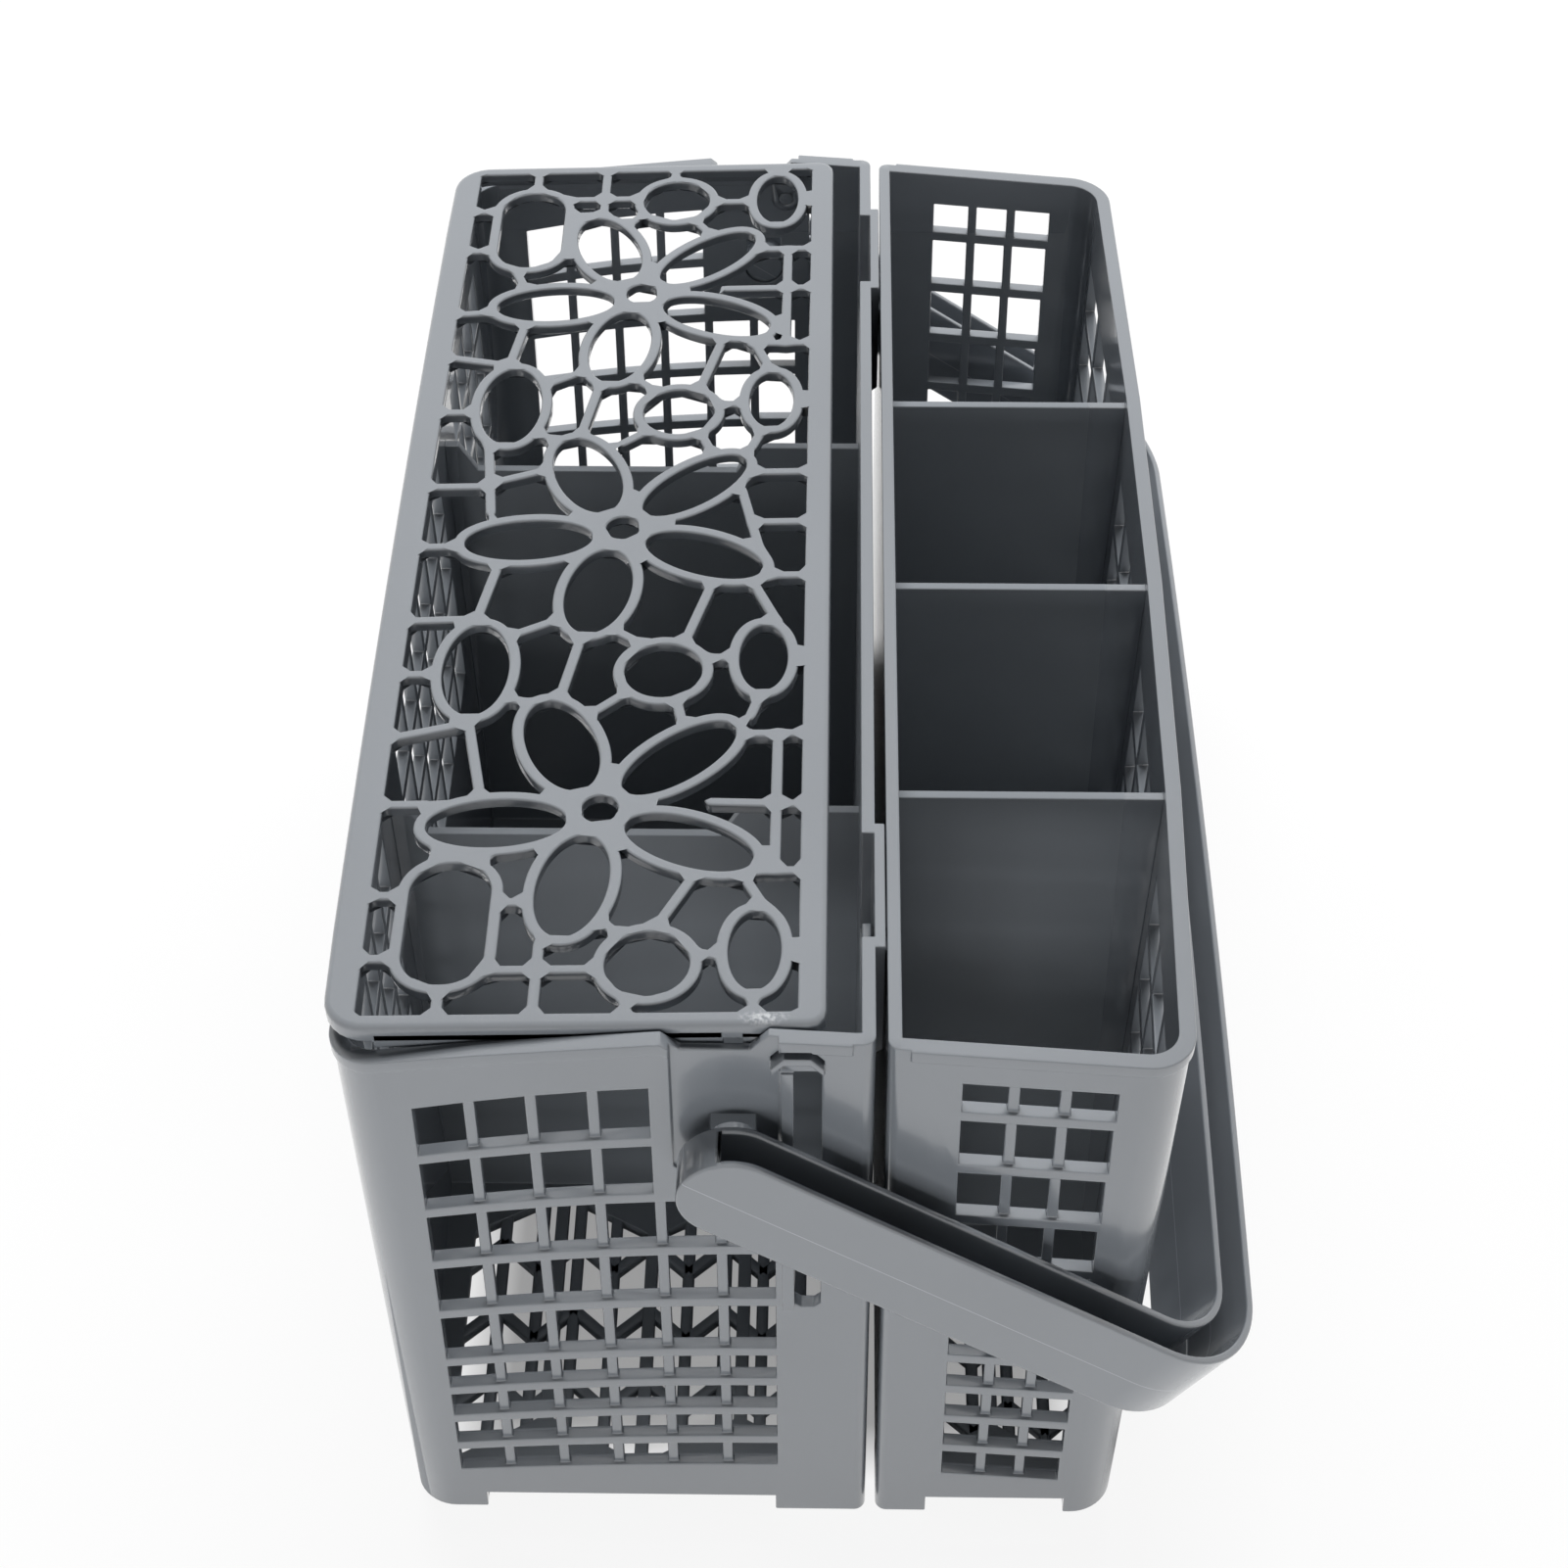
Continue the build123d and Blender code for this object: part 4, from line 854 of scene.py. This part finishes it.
def make_lid():
    """Lid as one mesh: plate, end skirts and hinge ears."""
    work = bmesh.new()
    work.from_mesh(lid_plate())
    left = LID_RIGHT - LID_WIDTH + SKIRT_START
    for front in (LID_END, LENGTH - LID_END - SKIRT_THICKNESS):
        low = (left, front, -SKIRT_DEPTH)
        high = (SKIRT_END, front + SKIRT_THICKNESS, -BORDER_HEIGHT / 2)
        rounded_block(work, low, high, LATTICE_UNDERSIDE_ROUNDING)
    tilt = Matrix.Translation((LID_RIGHT, 0, LID_HEIGHT)) @ Matrix.Rotation(-LID_SLOPE, 4, "Y")
    work.transform(tilt @ Matrix.Translation((-LID_RIGHT, 0, 0)))
    work.from_mesh(hinge_ears())
    work.transform(TO_FRAME)
    return shade_flats(mesh_object("lid_moulding", finished(work, "lid_moulding"), lid_plastic))


dress(make_lid(), "lid")


# Carry handle

def handle_outline(inset, longer=0.0):
    """Outline of the handle's U in its own plane, with arms that may be longer, from front to back."""
    front = -HANDLE_SIDE_GAP - HANDLE_WIDTH + inset
    back = LENGTH - front
    far = HANDLE_REACH - inset
    radius = HANDLE_CORNER - inset
    near = -HANDLE_DEPTH - longer
    points = [(near, front)]
    for i in range(CORNER_STEPS + 1):
        angle = -pi / 2 + pi / 2 * i / CORNER_STEPS
        points.append((far - radius + radius * cos(angle), front + radius + radius * sin(angle)))
    for i in range(1, BOW_STEPS):
        share = i / BOW_STEPS
        y = front + radius + (back - front - 2 * radius) * share
        points.append((far + HANDLE_BOW * (1 - (2 * share - 1) ** 2), y))
    for i in range(CORNER_STEPS + 1):
        angle = pi / 2 * i / CORNER_STEPS
        points.append((far - radius + radius * cos(angle), back - radius + radius * sin(angle)))
    points.append((near, back))
    return points


def arm_side_view(low, high, radius):
    """Side view of an arm, rounded about its pivot, from one height to another past the crossbar."""
    steps = 2 * CORNER_STEPS
    points = [(-radius * sin(pi * i / steps), radius * cos(pi * i / steps)) for i in range(steps + 1)]
    points = [(x, z) for x, z in points if z <= high]
    return [(PAST_CROSSBAR, high), *points, (PAST_CROSSBAR, low)]


def prism(name, outline, low, high, upright):
    """Solid with a flat outline; upright ones are drawn in X and Z and run along Y."""
    work = bmesh.new()
    place = (lambda x, z, y: (x, y, z)) if upright else (lambda x, y, z: (x, y, z))
    rows = [[work.verts.new(place(*point, level)) for point in outline] for level in (low, high)]
    count = len(outline)
    work.faces.new(rows[0])
    work.faces.new(rows[1])
    for i in range(count):
        j = (i + 1) % count
        work.faces.new((rows[0][i], rows[0][j], rows[1][j], rows[1][i]))
    bmesh.ops.recalc_face_normals(work, faces=work.faces)
    return mesh_object(name, finished(work, name), handle_plastic)


def combine(obj, other, operation):
    """Changes a solid by another one, which is used up."""
    cut = obj.modifiers.new("cut", "BOOLEAN")
    cut.operation = operation
    cut.solver = "EXACT"
    cut.object = other
    settle(obj)
    bpy.data.objects.remove(other)


def make_handle():
    """Carry handle: a U-shaped channel that is open at its arms' round ends, and a pin on each arm."""
    half = HANDLE_DEPTH / 2
    wall = HANDLE_WALL
    front = -HANDLE_SIDE_GAP - HANDLE_WIDTH - CUT_MARGIN
    back = LENGTH - front
    inner = handle_outline(HANDLE_WIDTH, CUT_MARGIN)
    handle = prism("handle", handle_outline(0), -half, half, False)
    combine(handle, prism("inside", inner, -HANDLE_DEPTH, HANDLE_DEPTH, False), "DIFFERENCE")
    combine(handle, prism("side", arm_side_view(-half, half, half), front, back, True), "INTERSECT")

    channel = prism("channel", handle_outline(wall), -half, HANDLE_DEPTH, False)
    core = handle_outline(HANDLE_WIDTH - wall, CUT_MARGIN)
    combine(channel, prism("core", core, -HANDLE_DEPTH, 2 * HANDLE_DEPTH, False), "DIFFERENCE")
    radius = half - wall
    turns = [pi * i / CORNER_STEPS for i in range(CORNER_STEPS + 1)]
    floor = -half + HANDLE_WEB
    end = [(-radius * sin(turn), radius * cos(turn)) for turn in turns]
    end = [(x, z) for x, z in end if z >= floor and (z < 0 or x <= -HANDLE_END_OPENING)]
    opened = [(PAST_CROSSBAR, HANDLE_DEPTH), (-HANDLE_END_OPENING, HANDLE_DEPTH), *end]
    opened += [(end[-1][0], floor), (PAST_CROSSBAR, floor)]
    combine(channel, prism("view", opened, front, back, True), "INTERSECT")
    combine(handle, channel, "DIFFERENCE")

    work = bmesh.new()
    work.from_mesh(handle.data)
    bmesh.ops.remove_doubles(work, verts=work.verts, dist=WELD)
    bmesh.ops.dissolve_limit(work, angle_limit=FLAT_ANGLE, verts=work.verts, edges=work.edges)
    for start in (-HANDLE_SIDE_GAP - wall / 2, LENGTH + HANDLE_SIDE_GAP - PIN_LENGTH):
        length = PIN_LENGTH + wall / 2
        ends = Matrix.Translation((0, start + length / 2, 0)) @ Matrix.Rotation(pi / 2, 4, "X")
        sizes = {"radius1": PIN_RADIUS, "radius2": PIN_RADIUS, "depth": length, "segments": PIN_STEPS}
        bmesh.ops.create_cone(work, cap_ends=True, matrix=ends, **sizes)
    tilt = Matrix.Translation((PIVOT_X, 0, PIVOT_Z)) @ Matrix.Rotation(HANDLE_TILT, 4, "Y")
    work.transform(TO_FRAME @ tilt)
    work.to_mesh(handle.data)
    work.free()
    handle.name = "handle_moulding"
    return round_edges(handle, HANDLE_EDGE)


dress(make_handle(), "carry_handle")


# Studio

def seen_white(tree, reflected):
    """1 for rays that show the white surroundings, and a given share of it for reflections."""
    rays = node(tree, "ShaderNodeLightPath").outputs
    direct = maths(tree, "MAXIMUM", rays["Is Camera Ray"], rays["Is Transmission Ray"])
    return maths(tree, "MAXIMUM", direct, maths(tree, "MULTIPLY", rays["Is Glossy Ray"], reflected))


def blend_to_white(tree, share, plain, white, output):
    """Output that goes from a plain shader to a white one with the share."""
    white.inputs["Color"].default_value = WHITE
    white.inputs["Strength"].default_value = 1.0
    mix = node(tree, "ShaderNodeMixShader")
    tree.links.new(share, mix.inputs["Fac"])
    tree.links.new(plain.outputs[0], mix.inputs[1])
    tree.links.new(white.outputs[0], mix.inputs[2])
    tree.links.new(mix.outputs[0], node(tree, output).inputs["Surface"])


def painted_shadow_mask(tree, sides, ends):
    """Mask of a painted shadow: 1 on the floor well within a rectangle, falling to 0 at its edge."""
    place = node(tree, "ShaderNodeSeparateXYZ")
    tree.links.new(node(tree, "ShaderNodeTexCoord").outputs["Object"], place.inputs[0])
    depths = []
    for label, (low, high) in zip("XY", (sides, ends)):
        offset = maths(tree, "SUBTRACT", place.outputs[label], (low + high) / 2)
        depths.append(maths(tree, "SUBTRACT", (high - low) / 2, maths(tree, "ABSOLUTE", offset)))
    depth = maths(tree, "DIVIDE", maths(tree, "MINIMUM", *depths), PAINTED_SHADOW_EDGE)
    return maths(tree, "MINIMUM", maths(tree, "MAXIMUM", depth, 0.0), 1.0)


def studio_floor():
    """Floor that is white to the eye, with a painted shadow below the baskets (dimmer to the eye, and
    without the white glow in reflections), and keeps the object's shadow.
    """
    material = bpy.data.materials.new("studio_white_painted_shadow")
    material.use_nodes = True
    tree = material.node_tree
    tree.nodes.clear()
    # Painted shadow in reflections: no white glow on the floor below the baskets
    reflected = maths(tree, "SUBTRACT", 1.0, painted_shadow_mask(tree, PAINTED_REFLECTION_SHADOW_SIDES, PAINTED_REFLECTION_SHADOW_ENDS))
    # Painted shadow to the eye: the floor's glow falls to a dimmer level below the baskets
    base = painted_shadow_mask(tree, PAINTED_SHADOW_SIDES, PAINTED_SHADOW_ENDS)
    glow = maths(tree, "MULTIPLY_ADD", base, PAINTED_SHADOW_GLOW - FLOOR_GLOW, FLOOR_GLOW)
    share = maths(tree, "MULTIPLY", seen_white(tree, reflected), glow)
    paint = node(tree, "ShaderNodeBsdfDiffuse")
    paint.inputs["Color"].default_value = FLOOR_PAINT
    white = node(tree, "ShaderNodeEmission")
    blend_to_white(tree, share, paint, white, "ShaderNodeOutputMaterial")
    mesh = bpy.data.meshes.new("studio_floor")
    corners = [(x * FLOOR_REACH, y * FLOOR_REACH, 0) for x, y in ((-1, -1), (1, -1), (1, 1), (-1, 1))]
    mesh.from_pydata(corners, [], [(0, 1, 2, 3)])
    return mesh_object("studio_floor", mesh, material)


def studio_world():
    """White surroundings to the eye and in reflections, and a softer fill on the object."""
    world = bpy.data.worlds.new("studio")
    bpy.context.scene.world = world
    world.use_nodes = True
    tree = world.node_tree
    tree.nodes.clear()
    fill = node(tree, "ShaderNodeBackground")
    fill.inputs["Color"].default_value = WHITE
    fill.inputs["Strength"].default_value = FILL_STRENGTH
    white = node(tree, "ShaderNodeBackground")
    blend_to_white(tree, seen_white(tree, 1.0), fill, white, "ShaderNodeOutputWorld")


def softbox(name, place, target, size, power):
    """Rectangular soft light that faces a point and leaves no glare on the plastic."""
    lamp = bpy.data.lights.new(name, "AREA")
    lamp.shape = "RECTANGLE"
    lamp.size, lamp.size_y = size
    lamp.energy = power
    obj = bpy.data.objects.new(name, lamp)
    obj.location = place
    obj.rotation_euler = (Vector(target) - Vector(place)).to_track_quat("-Z", "Y").to_euler()
    obj.visible_glossy = False
    bpy.context.scene.collection.objects.link(obj)


def photo_camera():
    """Camera at the photograph's viewing angle."""
    pitch, yaw, roll = CAMERA_PITCH, CAMERA_YAW, CAMERA_ROLL
    forward = Vector((sin(yaw) * cos(pitch), cos(yaw) * cos(pitch), -sin(pitch)))
    right = Vector((cos(yaw), -sin(yaw), 0))
    up = right.cross(forward)
    right, up = cos(roll) * right + sin(roll) * up, cos(roll) * up - sin(roll) * right
    data = bpy.data.cameras.new("photo_camera")
    data.lens = CAMERA_LENS
    data.sensor_width = SENSOR_WIDTH
    data.clip_start = CAMERA_NEAR
    camera = bpy.data.objects.new("photo_camera", data)
    turn = Matrix((right, up, -forward)).transposed().to_4x4()
    camera.matrix_world = Matrix.Translation(CAMERA_PLACE) @ turn
    bpy.context.scene.collection.objects.link(camera)
    bpy.context.scene.camera = camera


studio_floor()
studio_world()
softbox("top_light", **TOP_LIGHT)
softbox("front_light", **FRONT_LIGHT)
photo_camera()
bpy.context.scene.view_settings.view_transform = "Standard"
